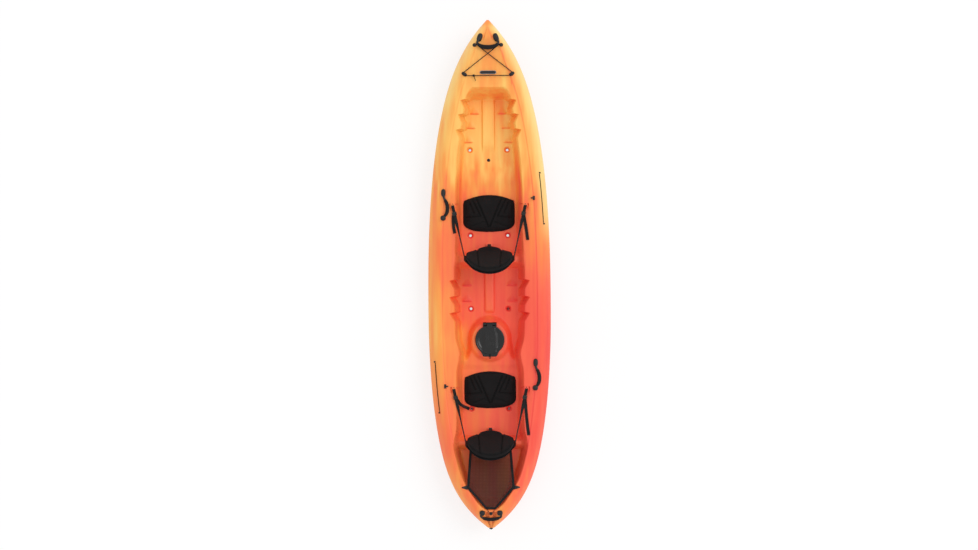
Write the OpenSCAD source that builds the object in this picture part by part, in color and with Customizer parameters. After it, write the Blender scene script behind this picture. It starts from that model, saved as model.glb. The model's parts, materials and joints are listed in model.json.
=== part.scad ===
// Two-seat sit-on-top kayak: twin-sheet hull, padded seats, deck fittings.
// Millimetres, bow towards +Y, +Z up, keel runners on z = 0.

/* [Hull] */
// Distance of the bow tip ahead of the middle
bow_y = 1829; // [1800:1:1880]
// Distance of the transom behind the middle
transom_y = 1815; // [1790:1:1860]
// Widest beam over the seam
beam = 882; // [850:2:930]
// Widest station, behind the middle
beam_back = 215; // [150:5:280]
// Width of the blunt bow tip
bow_tip_w = 14; // [10:1:20]
// Width of the flat transom
transom_w = 40; // [36:1:50]
// Sheet thickness of deck and hull
wall = 4; // [3:0.5:5]
// Seam flange width
flange = 12; // [8:1:16]
// Seam height at the widest station
seam_h = 165; // [155:1:180]
// Extra seam height at the bow
seam_bow = 90; // [60:5:110]
// Extra seam height at the transom
seam_stern = 70; // [50:5:90]
// Rise of the gunwale crest over the seam
crest_h = 98; // [85:1:115]
// Distance of the crest inboard of the seam
crest_in = 100; // [88:1:110]

/* [Bottom] */
// Keel rise at the bow tip
rocker_bow = 190; // [150:5:200]
// Keel rise at the transom
rocker_stern = 150; // [110:5:160]
// Width of the middle keel runner
keel_w = 60; // [50:2:80]
// Centre of each side runner
runner_x = 232; // [215:1:245]
// Width of each side runner
runner_w = 36; // [28:1:44]
// Depth of the channels between the runners
channel_h = 7; // [5:0.5:10]

/* [Wells] */
// Front seat centre, ahead of the middle
front_seat_y = 445; // [430:1:460]
// Rear seat centre, behind the middle
rear_seat_back = 828; // [815:1:840]
// Floor height of the footwells
foot_z = 95; // [88:1:104]
// Height of both seat pans
seat_z = 118; // [112:1:126]
// Height of the lip ahead of each seat
lip_z = 130; // [126:1:140]
// Height of the ridges behind the seats
ridge_z = 200; // [185:1:210]
// Height of the tankwell floor
tank_z = 140; // [130:1:155]
// Plan width of the well walls
wall_run = 50; // [44:1:56]
// Depth of the foot notches in the walls
notch_d = 34; // [24:1:38]
// Length of each foot notch
notch_len = 95; // [80:1:100]
// Height of the ribs between the feet
rib_h = 18; // [12:1:22]

/* [Scuppers] */
// Distance of the scuppers from the centre line
scupper_x = 135; // [128:1:138]
// Radius of the scupper bore
scupper_r = 13; // [11:0.5:14]
// Radius of the funnel at the floor
funnel_r = 21; // [19:0.5:23]
// Depth of the funnel
funnel_h = 9; // [6:1:12]

/* [Hatch] */
// Hatch centre, behind the middle
hatch_back = 467; // [460:1:474]
// Height of the console that carries the hatch
console_z = 176; // [165:1:182]
// Radius of the lid
lid_r = 105; // [100:1:110]
// Radius of the hatch opening
hatch_bore_r = 80; // [70:1:82]
// Thickness of the lid plate
lid_t = 4; // [3:0.5:5]

/* [Seats] */
// Width of each seat pad
pad_w = 376; // [350:2:380]
// Length of each seat pad
pad_l = 272; // [255:1:276]
// Thickness of each seat pad at its edge
pad_edge_t = 14; // [10:1:18]
// Crown of each seat pad over its edge
pad_crown = 14; // [8:1:16]
// Depth of the pad channels
pad_groove = 6; // [3:0.5:7]
// Height of each backrest along its slope
back_h = 376; // [355:1:390]
// Half width of each backrest
back_half = 166; // [156:1:170]
// Thickness of each backrest pad
back_t = 36; // [28:1:38]
// Lean of each backrest behind upright
back_lean = 28; // [22:1:29]
// Distance of the sides ahead of the middle of a backrest
back_wrap = 30; // [20:1:32]
// Radius of the backrest hinge pins
back_pin_r = 4; // [3:0.5:4]

/* [Straps] */
// Webbing width
strap_w = 22; // [20:1:26]
// Webbing thickness
strap_t = 2; // [1.5:0.1:2.2]
// Distance of the strap anchors from the centre line
anchor_x = 260; // [258:1:266]
// Distance of the front anchors ahead of their seat centre
anchor_fore = 56; // [50:1:62]
// Distance of the rear anchors ahead of their seat centre
rear_anchor_fore = 14; // [8:1:20]

/* [Handles] */
// Handle hinge distance behind the bow tip
bow_handle_set = 122; // [115:1:130]
// Distance of the bow handle feet inboard of the seam
bow_foot_in = 54.5; // [52:0.5:57]
// Reach of the bow handle
bow_reach = 84; // [78:1:90]
// Handle hinge distance ahead of the transom
stern_handle_set = 112; // [108:1:118]
// Half spacing of the stern handle feet
stern_foot_x = 60; // [57:1:64]
// Reach of the stern handle
stern_reach = 50; // [46:1:54]
// Distance of the side handle hinges inboard of the widest seam
side_handle_in = 115; // [111:1:119]
// Half spacing of the side handle feet
side_foot = 88; // [84:1:94]
// Reach of the side handles
side_reach = 34; // [33:1:38]
// Radius of the handle core
bail_r = 4.5; // [4:0.1:5]
// Radius of the handle grip
grip_r = 9; // [8:0.5:10]
// Radius of the handle pivots
pivot_r = 4; // [3.5:0.1:4.5]

/* [Bungee] */
// Radius of the bow bungee
bungee_r = 3; // [2.5:0.1:3]
// Stem radius of the bungee posts
post_r = 8; // [7:0.5:9]
// Radius of the paddle keeper cords
keeper_r = 2.5; // [2:0.1:3]

/* [Cargo net] */
// Half width of the net at its front
net_front = 147; // [135:1:155]
// Half width of the net at its side corners
net_side = 172; // [166:1:176]
// Half width of the net at its rear
net_rear = 36; // [30:1:40]
// Thickness of the mesh
net_t = 1.2; // [1:0.1:1.6]
// Width of the edge binding
binding_w = 16; // [12:1:20]

/* [Drain plug] */
// Radius of the plug head
plug_head_r = 13; // [12:0.5:14]
// Radius of the plug shank
plug_shank_r = 8; // [7:0.5:8.5]

/* [Plate] */
// Length of the bare bow plate
plate_l = 118; // [100:1:126]
// Width of the bare bow plate
plate_w = 26; // [20:1:30]

/* [Fit] */
// Running clearance of pins and pivots
run_gap = 0.1; // [0.05:0.01:0.1]
// Gap between soft pieces and their neighbours
soft_gap = 0.4; // [0.3:0.05:0.6]

/* [Hidden] */
$fn = 48;
beam_y = -beam_back;
stern_y = -transom_y;
fy = front_seat_y;
ry = -rear_seat_back;
hatch_y = -hatch_back;
seat_ys = [fy, ry];
// Backrest hinges lie behind each seat centre
hinge_ys = [fy - 229, ry - 282];
hinge_z = seat_z + 16;
scupper_ys = [fy + 460, fy - 159, ry + 584, ry - 137];
notch_ys = [fy + 816, fy + 713, fy + 604, ry + 797, ry + 678, ry + 563];
notch_face = 14;
well_front_y = fy + 904;
well_rear_y = ry - 862;

// Plain helpers
function clamp01(t) = min(1, max(0, t));
function smooth(t) = let (c = clamp01(t)) c * c * (3 - 2 * c);
function mix(a, b, t) = a + (b - a) * t;
function unit(v) = v / norm(v);
function seg(y, p, i = 0) = i >= len(p) - 2 || y < p[i + 1][0] ? i : seg(y, p, i + 1);
function eased(y, p) = let (i = seg(y, p))
  mix(p[i][1], p[i + 1][1], smooth((y - p[i][0]) / (p[i + 1][0] - p[i][0])));
function sorted(a) = len(a) < 2 ? a : let (p = a[floor(len(a) / 2)])
  concat(sorted([for (v = a) if (v < p) v]), [p], sorted([for (v = a) if (v > p) v]));
function spaced(a, gap, i = 1, out = undef) = let (o = is_undef(out) ? [a[0]] : out)
  i >= len(a) ? o : spaced(a, gap, i + 1, a[i] - o[len(o) - 1] < gap ? o : concat(o, [a[i]]));
function quad(a, b, c, d) = [[a, b, c], [a, c, d]];

// Plan, seam and crest of the hull
function bow_t(y) = clamp01((y - beam_y) / (bow_y - beam_y));
function stern_t(y) = clamp01((beam_y - y) / (beam_y - stern_y));
function half_beam(y) = y > beam_y
  ? mix(beam, bow_tip_w, 0.62 * pow(bow_t(y), 2.5) + 0.38 * pow(bow_t(y), 8)) / 2
  : mix(beam, transom_w, 0.5 * pow(stern_t(y), 2.3) + 0.5 * pow(stern_t(y), 8)) / 2;
function seam_z(y) = seam_h + seam_bow * pow(bow_t(y), 2) + seam_stern * pow(stern_t(y), 2);
function tip_fade(y) = 1 - pow(max(bow_t(y), stern_t(y)), 24);
function crest_run(y) = min(crest_in, 0.5 * half_beam(y));
function base_z(x, y) = let (d = half_beam(y) - abs(x), r = crest_run(y), s = clamp01(d / r))
  seam_z(y) + wall + crest_h * tip_fade(y) * (1 - pow(1 - s, 2)) - 0.04 * max(0, d - r);

// Wells: half width along the boat, floor heights, ribs and the hatch console
well_plan = [[ry - 872, 40], [ry - 829, 60], [ry - 664, 158], [ry - 432, 222], [ry - 312, 226],
  [ry - 212, 219], [ry + 128, 219], [ry + 183, 216], [ry + 254, 210], [ry + 362, 226],
  [ry + 563, 232], [fy - 385, 232], [fy - 305, 226], [fy - 145, 219], [fy + 200, 218],
  [fy + 380, 206], [fy + 559, 184], [fy + 817, 142], [fy + 904, 124], [fy + 1055, 110]];
function notch(y) = max([for (k = notch_ys) let (t = (k - y) / notch_len)
  t < 0 || t > 1 ? 0 : notch_d * min((k - y) / notch_face, 1) * (1 - t)]);
function well_half(y) = notch(y)
  + (lookup(y - 40, well_plan) + 2 * lookup(y, well_plan) + lookup(y + 40, well_plan)) / 4;
floor_plan = [[ry - 880, tank_z + 8], [ry - 434, tank_z], [ry - 388, ridge_z],
  [ry - 367, ridge_z], [ry - 330, seat_z], [ry + 148, seat_z], [ry + 168, lip_z],
  [ry + 228, foot_z], [fy - 400, foot_z], [fy - 345, ridge_z], [fy - 316, ridge_z],
  [fy - 277, seat_z], [fy + 200, seat_z], [fy + 250, lip_z], [fy + 355, foot_z],
  [bow_y, foot_z]];
console_plan = [[ry + 120, 250], [ry + 183, 222], [ry + 254, 168], [hatch_y, 138]];
function console_half(y) = y > hatch_y ? sqrt(max(0, 155 * 155 - pow(y - hatch_y, 2)))
  : lookup(y, console_plan);
function console_mask(x, y) = y > hatch_y ? smooth((172 - norm([x, y - hatch_y])) / 34)
  : smooth((lookup(y, console_plan) + 17 - abs(x)) / 34);
function console_top(y) = mix(lip_z, console_z, smooth((y - ry - 183) / 60));
function rib(x, y) = rib_h * (smooth((50 - abs(x)) / 12) * smooth((y - fy - 423) / 80)
  * smooth((fy + 845 - y) / 40) + smooth((38 - abs(x)) / 12) * smooth((y - ry - 548) / 30)
  * smooth((fy - 375 - y) / 30));
function floor_z(x, y) = let (f = eased(y, floor_plan)) rib(x, y)
  + (y > ry + 163 && y < hatch_y + 175 ? mix(f, max(f, console_top(y)), console_mask(x, y)) : f);
function well_mask(x, y) = smooth((well_half(y) + wall_run / 2 - abs(x)) / wall_run)
  * smooth((well_front_y - y) / 87) * smooth((y - well_rear_y) / 90);
function deck_z(x, y) = mix(base_z(x, y), floor_z(x, y), well_mask(x, y));
function steep(x, y) = let (e = 4, zx = (deck_z(x + e, y) - deck_z(x - e, y)) / (2 * e),
  zy = (deck_z(x, y + e) - deck_z(x, y - e)) / (2 * e)) sqrt(1 + zx * zx + zy * zy);
function under_z(x, y) = deck_z(x, y) - wall * min(6, steep(x, y));

// Bottom: rockered keel with three flat runners
function keel_z(y) = rocker_bow * pow(clamp01((y - 600) / (bow_y - 600)), 5)
  + rocker_stern * pow(clamp01((-600 - y) / (transom_y - 600)), 5);
function plain_z(x, y) = let (u = min(1, abs(x) / half_beam(y)), k = keel_z(y) + channel_h)
  k + (seam_z(y) - wall - k) * pow(u, 5);
function runner(x, y) = let (b = half_beam(y), s = abs(abs(x) - runner_x))
  max(smooth((keel_w / 2 + 14 - abs(x)) / 14) * smooth((b - 60) / 60),
  smooth((runner_w / 2 + 14 - s) / 14) * smooth((b - runner_x - 90) / 40));
function hull_z(x, y) = mix(plain_z(x, y), keel_z(y), runner(x, y));
function hull_in(x, y) = let (e = 4, zx = (plain_z(x + e, y) - plain_z(x - e, y)) / (2 * e))
  min(seam_z(y), plain_z(x, y) + wall * sqrt(1 + zx * zx));

// Stations along the boat, shared by deck and hull so that their rims meet
marks = concat([stern_y, stern_y + 8, bow_y - 8, bow_y], [for (p = floor_plan)
  if (p[0] > stern_y && p[0] < bow_y - 20) p[0]],
  [for (k = notch_ys) each [k, k - notch_face, k - notch_len]],
  [for (d = [172, 150, 120, 80, 40, 0]) hatch_y + d], [well_front_y, well_front_y - 44]);
function mark_gap(v) = min([for (f = marks) abs(f - v)]);
ground = [for (i = [1:47]) mix(stern_y, bow_y, i / 48)];
stations = spaced(sorted(concat(marks, [for (v = ground) if (mark_gap(v) > 34) v])), 6);
last = len(stations) - 1;
function inboard(y) = let (c = console_half(y))
  y > ry + 150 && y < hatch_y + 172 ? [60, 112, max(30, c - 17), max(40, c + 17)]
  : [36, 52, 105, 155];
function columns(y) = let (b = half_beam(y), r = crest_run(y), w = well_half(y), h = wall_run / 2,
  k = min(1, (b - r) / (w + h + 6)), i = inboard(y)) sorted([0, k * i[0], k * i[1], k * i[2],
  k * min(i[3], w - h - 6), k * (w - h), k * (w - 0.4 * h), k * (w + 0.4 * h), k * (w + h),
  b - r, b - 0.6 * r, b - 0.3 * r, b - min(flange, 0.2 * b), b]);
function bottom_columns(y) = let (b = half_beam(y), k = min(1, b / 420), h = runner_w / 2)
  sorted([k * keel_w / 2, k * (keel_w / 2 + 14), k * (runner_x - h - 14), k * (runner_x - h),
  k * (runner_x + h), mix(k * (runner_x + h), b, 0.55), b - min(flange + 5, 0.28 * b),
  b - min(flange, 0.2 * b), b]);
function both(c) = concat([for (i = [len(c) - 1:-1:0]) if (c[i] > 0) -c[i]], c);

// A closed sheet between two grids of points that share rows and columns
module sheet_solid(top, low) {
  m = len(top);
  n = len(top[0]);
  k = m * n;
  faces = concat(
    [for (i = [0:m - 2]) for (j = [0:n - 2]) each quad(i * n + j, i * n + n + j, i * n + n + j + 1,
      i * n + j + 1)],
    [for (i = [0:m - 2]) for (j = [0:n - 2]) each quad(k + i * n + j, k + i * n + j + 1,
      k + i * n + n + j + 1, k + i * n + n + j)],
    [for (i = [0:m - 2]) each quad(i * n, k + i * n, k + i * n + n, i * n + n)],
    [for (i = [0:m - 2]) each quad(i * n + n - 1, i * n + 2 * n - 1, k + i * n + 2 * n - 1,
      k + i * n + n - 1)],
    [for (j = [0:n - 2]) each quad(j, j + 1, k + j + 1, k + j)],
    [for (j = [0:n - 2]) each quad(k - n + j, 2 * k - n + j, 2 * k - n + j + 1, k - n + j + 1)]);
  polyhedron([for (r = concat(top, low)) each r], faces, convexity = 8);
}

// Rings of points along a path: side vector, up vector, roll in degrees
function way(p, i) = unit(p[min(i + 1, len(p) - 1)] - p[max(i - 1, 0)]);
function ring(p, i, shape, roll, side) = let (t = way(p, i), h = is_undef(side)
  ? cross(t, [0, 0, 1]) : side[i], s = unit(h - (h * t) * t), u = cross(s, t), c = cos(roll),
  d = sin(roll)) [for (q = shape) p[i] + q[0] * (c * s + d * u) + q[1] * (c * u - d * s)];
// One closed bar along a path
module bar_along(p, shapes, rolls = undef, side = undef) {
  m = len(p);
  n = len(shapes[0]);
  rings = [for (i = [0:m - 1]) ring(p, i, shapes[i], is_undef(rolls) ? 0 : rolls[i],
    side)];
  faces = concat(
    [for (i = [0:m - 2]) for (j = [0:n - 1]) let (a = i * n + j, b = i * n + (j + 1) % n)
      each j < n / 2 ? quad(a, b, b + n, a + n) : quad(b, b + n, a + n, a)],
    [for (j = [1:n - 2]) [0, j + 1, j]],
    [for (j = [1:n - 2]) [(m - 1) * n, (m - 1) * n + j, (m - 1) * n + j + 1]]);
  polyhedron([for (r = rings) each r], faces, convexity = 6);
}
// A sleeve with a through bore along a path
module sleeve_along(p, outer, inner) {
  m = len(p);
  n = len(outer[0]);
  k = m * n;
  out_r = [for (i = [0:m - 1]) ring(p, i, outer[i], 0, undef)];
  in_r = [for (i = [0:m - 1]) ring(p, i, inner, 0, undef)];
  faces = concat(
    [for (i = [0:m - 2]) for (j = [0:n - 1]) each quad(i * n + j, i * n + (j + 1) % n,
      (i + 1) * n + (j + 1) % n, (i + 1) * n + j)],
    [for (i = [0:m - 2]) for (j = [0:n - 1]) each quad(k + i * n + j, k + (i + 1) * n + j,
      k + (i + 1) * n + (j + 1) % n, k + i * n + (j + 1) % n)],
    [for (j = [0:n - 1]) each quad(j, k + j, k + (j + 1) % n, (j + 1) % n)],
    [for (j = [0:n - 1]) each quad(k - n + j, k - n + (j + 1) % n, 2 * k - n + (j + 1) % n,
      2 * k - n + j)]);
  polyhedron([for (r = concat(out_r, in_r)) each r], faces, convexity = 6);
}
function round_shape(r, n = 8) = [for (j = [0:n - 1]) let (a = 360 * (j + 0.3) / n)
  r * [cos(a), sin(a)]];
function flat_shape(w, t) = [[w / 2, -t / 2], [w / 2, t / 2], [-w / 2, t / 2], [-w / 2, -t / 2]];
module cord(p, r, n = 8) {
  bar_along(p, [for (v = p) round_shape(r, n)]);
}

// Flat bosses that give each fitting a level seat on the deck
boss_h = 1.5;
function around(x, y, r) = concat([deck_z(x, y)],
  [for (a = [0:45:315]) deck_z(x + r * cos(a), y + r * sin(a))]);
function boss_top(x, y, r) = boss_h + max(around(x, y, r));
module boss(x, y, r) {
  low = min(around(x, y, r)) - wall / 2;
  translate([x, y, low])
    cylinder(r = r, h = boss_top(x, y, r) - low);
}
foot_r = 19;
post_foot_r = 14;
pad_foot_r = 17.5;
bow_handle_y = bow_y - bow_handle_set;
stern_handle_y = stern_y + stern_handle_set;
left_handle_y = fy + 55;
right_handle_y = ry + 108;
bow_foot_x = half_beam(bow_handle_y) - bow_foot_in;
side_handle_x = beam / 2 - side_handle_in;
// Bungee posts and paddle hooks keep their distance from the seam
post_ys = [bow_y - 186, bow_y - 392];
post_in = [57, 83];
post_xs = [half_beam(post_ys[0]) - post_in[0], half_beam(post_ys[1]) - post_in[1]];
post_spots = [[-post_xs[0], post_ys[0]], [post_xs[0], post_ys[0]], [post_xs[1], post_ys[1]],
  [-post_xs[1], post_ys[1]]];
hook_x = beam / 2 - 119;
hook_spots = [[hook_x, fy + 105], [-hook_x, ry + 32]];
anchor_ys = [fy + anchor_fore, ry + rear_anchor_fore];
anchor_spots = [for (y = anchor_ys) for (s = [-1, 1]) [s * anchor_x, y]];
net_side_y = ry - 692;
net_front_y = ry - 370;
net_rear_y = ry - 848;
clip_spots = [[-net_side - 22, net_side_y], [net_side + 22, net_side_y]];
eye_y = stern_y + 108;
plate_y = bow_y - 380;
foot_spots = [[-bow_foot_x, bow_handle_y], [bow_foot_x, bow_handle_y],
  [-stern_foot_x, stern_handle_y], [stern_foot_x, stern_handle_y],
  [-side_handle_x, left_handle_y - side_foot], [-side_handle_x, left_handle_y + side_foot],
  [side_handle_x, right_handle_y - side_foot], [side_handle_x, right_handle_y + side_foot]];
function pair_top(i) = max(boss_top(foot_spots[i][0], foot_spots[i][1], foot_r),
  boss_top(foot_spots[i + 1][0], foot_spots[i + 1][1], foot_r));
module level_boss(x, y, r, z) {
  low = min(around(x, y, r)) - wall / 2;
  translate([x, y, low])
    cylinder(r = r, h = z - low);
}
hatch_seat = console_z + 3;

// Deck sheet with moulded scupper tubes, fitting bosses and hatch seat
module deck_shell() {
  top = [for (y = stations) [for (x = both(columns(y))) [x, y, deck_z(x, y)]]];
  n = len(top[0]);
  low = [for (i = [0:last]) [for (j = [0:n - 1]) let (x = top[i][j][0], y = stations[i])
    [x, y, i == 0 || i == last || j < 2 || j > n - 3 ? seam_z(y) : under_z(x, y)]]];
  color([1, 0.5, 0.25])
    difference() {
      union() {
        sheet_solid(top, low);
        for (y = scupper_ys)
          for (s = [-1, 1])
            translate([s * scupper_x, y, 0]) {
              translate([0, 0, plain_z(scupper_x, y) + 0.5])
                cylinder(r = scupper_r + wall, h = 30);
              translate([0, 0, plain_z(scupper_x, y) + 30])
                cylinder(r1 = scupper_r + wall, r2 = funnel_r + wall,
                  h = floor_z(scupper_x, y) - wall / 2 - plain_z(scupper_x, y) - 30);
            }
        translate([0, hatch_y, console_z - wall / 2])
          cylinder(r = 124, h = hatch_seat - console_z + wall / 2, $fn = 96);
        for (i = [0:7])
          level_boss(foot_spots[i][0], foot_spots[i][1], foot_r, pair_top(i - i % 2));
        for (p = concat(post_spots, [[0, eye_y]]))
          boss(p[0], p[1], post_foot_r);
        for (p = concat(hook_spots, anchor_spots, clip_spots))
          boss(p[0], p[1], pad_foot_r);
        translate([-plate_l / 2 - 3, plate_y - plate_w / 2 - 3, plate_top() - 12])
          cube([plate_l + 6, plate_w + 6, 12]);
      }
      for (y = scupper_ys)
        for (s = [-1, 1])
          translate([s * scupper_x, y, 0]) {
            translate([0, 0, -20])
              cylinder(r = scupper_r, h = 400);
            translate([0, 0, floor_z(scupper_x, y) - funnel_h])
              cylinder(r1 = scupper_r, r2 = funnel_r, h = funnel_h);
            translate([0, 0, floor_z(scupper_x, y)])
              cylinder(r = funnel_r, h = 20);
          }
      translate([0, hatch_y, console_z - 60])
        cylinder(r = hatch_bore_r, h = 100, $fn = 96);
    }
}
function plate_top() = 1 + max([for (i = [-1:0.5:1]) for (j = [-1, 1])
  deck_z(i * (plate_l / 2 + 3), plate_y + j * (plate_w / 2 + 3))]);

// Hull sheet with runners, scupper holes and the drain hole in the transom
drain_z = seam_z(stern_y) - 26;
module hull_shell() {
  low = [for (y = stations) [for (x = both(bottom_columns(y))) [x, y, hull_z(x, y)]]];
  n = len(low[0]);
  top = [for (i = [0:last]) [for (j = [0:n - 1]) let (x = low[i][j][0], y = stations[i])
    [x, y, i == 0 || i == last || j < 2 || j > n - 3 ? seam_z(y) : hull_in(x, y)]]];
  color([1, 0.45, 0.2])
    difference() {
      sheet_solid(top, low);
      for (y = scupper_ys)
        for (s = [-1, 1])
          translate([s * scupper_x, y, -20])
            cylinder(r = scupper_r + wall + run_gap, h = 120);
      translate([0, stern_y - 20, drain_z])
        rotate([-90, 0, 0])
          cylinder(r = plug_shank_r + 3, h = 50);
    }
}

// Hatch: ring, gasket, hinge pin, screws, lid and pull tab
hinge_out = lid_r + 10;
hatch_pin_z = hatch_seat + 12;
hatch_pin_r = 3;
lid_low = hatch_seat + 18.4;
module at_hatch(z) {
  translate([0, hatch_y, z])
    children();
}
module hatch_ring() {
  color([0.06, 0.06, 0.06])
    difference() {
      at_hatch(hatch_seat)
        union() {
          difference() {
            cylinder(r = lid_r - 4, h = 4, $fn = 96);
            translate([0, 0, -1])
              cylinder(r = hatch_bore_r, h = 6, $fn = 96);
          }
          difference() {
            cylinder(r = hatch_bore_r + 6, h = 14, $fn = 96);
            translate([0, 0, -1])
              cylinder(r = hatch_bore_r, h = 16, $fn = 96);
          }
          for (s = [-1, 1])
            translate([s * 30 - 6, 0, 0]) {
              translate([0, lid_r - 20, 0])
                cube([12, 38, 3.6]);
              translate([0, hinge_out - 7, 0])
                cube([12, 14, 12]);
              translate([0, hinge_out, 12])
                rotate([0, 90, 0])
                  cylinder(r = 7, h = 12);
            }
        }
      at_hatch(hatch_pin_z)
        translate([-60, hinge_out, 0])
          rotate([0, 90, 0])
            cylinder(r = hatch_pin_r, h = 120);
    }
}
module hatch_gasket() {
  color([0.1, 0.1, 0.1])
    at_hatch(hatch_seat + 16)
      rotate_extrude($fn = 96)
        translate([hatch_bore_r + 3, 0])
          circle(r = 2, $fn = 24);
}
module hatch_hinge_pin() {
  color([0.6, 0.6, 0.62])
    at_hatch(hatch_pin_z)
      translate([-37, hinge_out, 0])
        rotate([0, 90, 0])
          cylinder(r = hatch_pin_r, h = 74);
}
module pan_screw(head_r = 4.5, shank_r = 2.2, depth = 9) {
  rotate_extrude($fn = 24)
    polygon([[0, -depth], [shank_r, -depth], [shank_r, 0], [head_r, 0], [head_r, 1.2],
      [head_r * 0.7, 2.4], [0, 2.8]]);
}
module hatch_screws() {
  color([0.6, 0.6, 0.62])
    for (a = [0:60:300])
      at_hatch(hatch_seat + 4)
        rotate([0, 0, a])
          translate([lid_r - 11, 0, 0])
            pan_screw(4, 2, 4);
}
module hatch_lid() {
  color([0.05, 0.05, 0.05])
    difference() {
      at_hatch(0)
        union() {
          translate([0, 0, lid_low])
            cylinder(r = lid_r, h = lid_t, $fn = 96);
          difference() {
            translate([0, 0, hatch_seat + 4.4])
              cylinder(r = lid_r, h = lid_low - hatch_seat - 4.4, $fn = 96);
            translate([0, 0, hatch_seat])
              cylinder(r = lid_r - 2.6, h = lid_low - hatch_seat, $fn = 96);
          }
          translate([0, 0, lid_low])
            linear_extrude(lid_t)
              polygon([[-72, -70], [72, -70], [48, -lid_r - 15], [-48, -lid_r - 15]]);
          translate([0, 0, lid_low + lid_t])
            linear_extrude(3.5)
              polygon([[-37, lid_r - 18], [37, lid_r - 18], [44, -lid_r + 10], [-44, -lid_r + 10]]);
          translate([-22, hinge_out, hatch_pin_z])
            rotate([0, 90, 0])
              cylinder(r = 6.5, h = 44);
          translate([-22, lid_r - 3, hatch_pin_z - 3])
            cube([44, hinge_out - lid_r + 3, 9.5]);
        }
      at_hatch(hatch_pin_z)
        translate([-60, hinge_out, 0])
          rotate([0, 90, 0])
            cylinder(r = hatch_pin_r + run_gap, h = 120);
    }
}
module hatch_pull_tab() {
  color([0.08, 0.08, 0.08])
    at_hatch(lid_low + lid_t)
      difference() {
        linear_extrude(3)
          polygon([[-8, -lid_r + 2], [8, -lid_r + 2], [8, -lid_r - 24], [5, -lid_r - 29],
            [-5, -lid_r - 29], [-8, -lid_r - 24]]);
        translate([0, -lid_r - 21, -1])
          cylinder(r = 4, h = 6);
      }
}

// Handles: feet on the deck, a core that turns in them and a grip sleeve
foot_l = 26;
pivot_up = 11;
// One foot with its pivot bore along X
module handle_foot() {
  difference() {
    union() {
      translate([-foot_l / 2, -16, 0])
        cube([foot_l, 32, 4]);
      translate([-foot_l / 2, -8, 0])
        cube([foot_l, 16, pivot_up]);
      translate([-foot_l / 2, 0, pivot_up])
        rotate([0, 90, 0])
          cylinder(r = 8, h = foot_l);
    }
    translate([-40, 0, pivot_up])
      rotate([0, 90, 0])
        cylinder(r = pivot_r + run_gap, h = 80);
  }
}
// Path of a handle core in the plane of the handle, pivots on the X axis
function bail_path(half, reach, out) = [[half, 0, 0], [half + 0.8 * out, -0.3 * reach, 0],
  [half + 0.7 * out, -0.55 * reach, 0], [half - 8, -0.8 * reach, 0],
  [0.55 * half, -0.93 * reach, 0], [0.28 * half, -0.985 * reach, 0], [0, -reach, 0],
  [-0.28 * half, -0.985 * reach, 0], [-0.55 * half, -0.93 * reach, 0],
  [-half + 8, -0.8 * reach, 0], [-half - 0.7 * out, -0.55 * reach, 0],
  [-half - 0.8 * out, -0.3 * reach, 0], [-half, 0, 0]];
module handle_core(foot_x, reach, out) {
  half = foot_x + foot_l / 2 + bail_r + 1.5;
  p = bail_path(half, reach, out);
  bar_along(p, [for (v = p) round_shape(bail_r)]);
  for (s = [-1, 1])
    translate([s * (half + foot_x - foot_l / 2) / 2, 0, 0])
      rotate([0, 90, 0])
        cylinder(r = pivot_r, h = half - foot_x + foot_l / 2, center = true);
  for (s = [-1, 1])
    translate([s * half, 0, 0])
      sphere(r = bail_r + 0.8, $fn = 20);
}
module handle_grip(foot_x, reach, out) {
  half = foot_x + foot_l / 2 + bail_r + 1.5;
  p = bail_path(half, reach, out);
  q = [for (i = [3:9]) p[i]];
  k = [0.8, 0.97, 1, 1, 1, 0.97, 0.8];
  sleeve_along(q, [for (i = [0:6]) round_shape(grip_r * k[i], 10)],
    round_shape(bail_r + soft_gap, 10));
}
module at_bow() {
  translate([0, bow_handle_y, pair_top(0) + pivot_up])
    rotate([bow_rest, 0, 0])
      children();
}
module at_stern() {
  translate([0, stern_handle_y, pair_top(2) + pivot_up])
    rotate([stern_rest, 0, 0])
      children();
}
module at_left() {
  translate([-side_handle_x, left_handle_y, pair_top(4) + pivot_up])
    rotate([0, left_rest, 0])
      rotate([0, 0, 90])
        children();
}
module at_right() {
  translate([side_handle_x, right_handle_y, pair_top(6) + pivot_up])
    rotate([0, right_rest, 0])
      rotate([0, 0, 90])
        children();
}
bow_rest = -10.5;
stern_rest = 16;
left_rest = 8;
right_rest = 15;
bow_out = 4;
stern_out = 0;
side_out = 0;
module feet_at(i, turn) {
  color([0.06, 0.06, 0.06])
    for (k = [i, i + 1])
      translate([foot_spots[k][0], foot_spots[k][1], pair_top(i)])
        rotate([0, 0, turn])
          handle_foot();
}
module bow_handle_feet() {
  feet_at(0, 0);
}
module bow_handle_bail() {
  color([0.07, 0.07, 0.07])
    at_bow()
      handle_core(bow_foot_x, bow_reach, bow_out);
}
module bow_handle_grip() {
  color([0.05, 0.05, 0.05])
    at_bow()
      handle_grip(bow_foot_x, bow_reach, bow_out);
}
module stern_handle_feet() {
  feet_at(2, 0);
}
module stern_handle_bail() {
  color([0.07, 0.07, 0.07])
    at_stern()
      handle_core(stern_foot_x, stern_reach, stern_out);
}
module stern_handle_grip() {
  color([0.05, 0.05, 0.05])
    at_stern()
      handle_grip(stern_foot_x, stern_reach, stern_out);
}
module left_handle_feet() {
  feet_at(4, 90);
}
module left_handle_bail() {
  color([0.07, 0.07, 0.07])
    at_left()
      handle_core(side_foot, side_reach, side_out);
}
module left_handle_grip() {
  color([0.05, 0.05, 0.05])
    at_left()
      handle_grip(side_foot, side_reach, side_out);
}
module right_handle_feet() {
  feet_at(6, 90);
}
module right_handle_bail() {
  color([0.07, 0.07, 0.07])
    at_right()
      handle_core(side_foot, side_reach, side_out);
}
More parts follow.
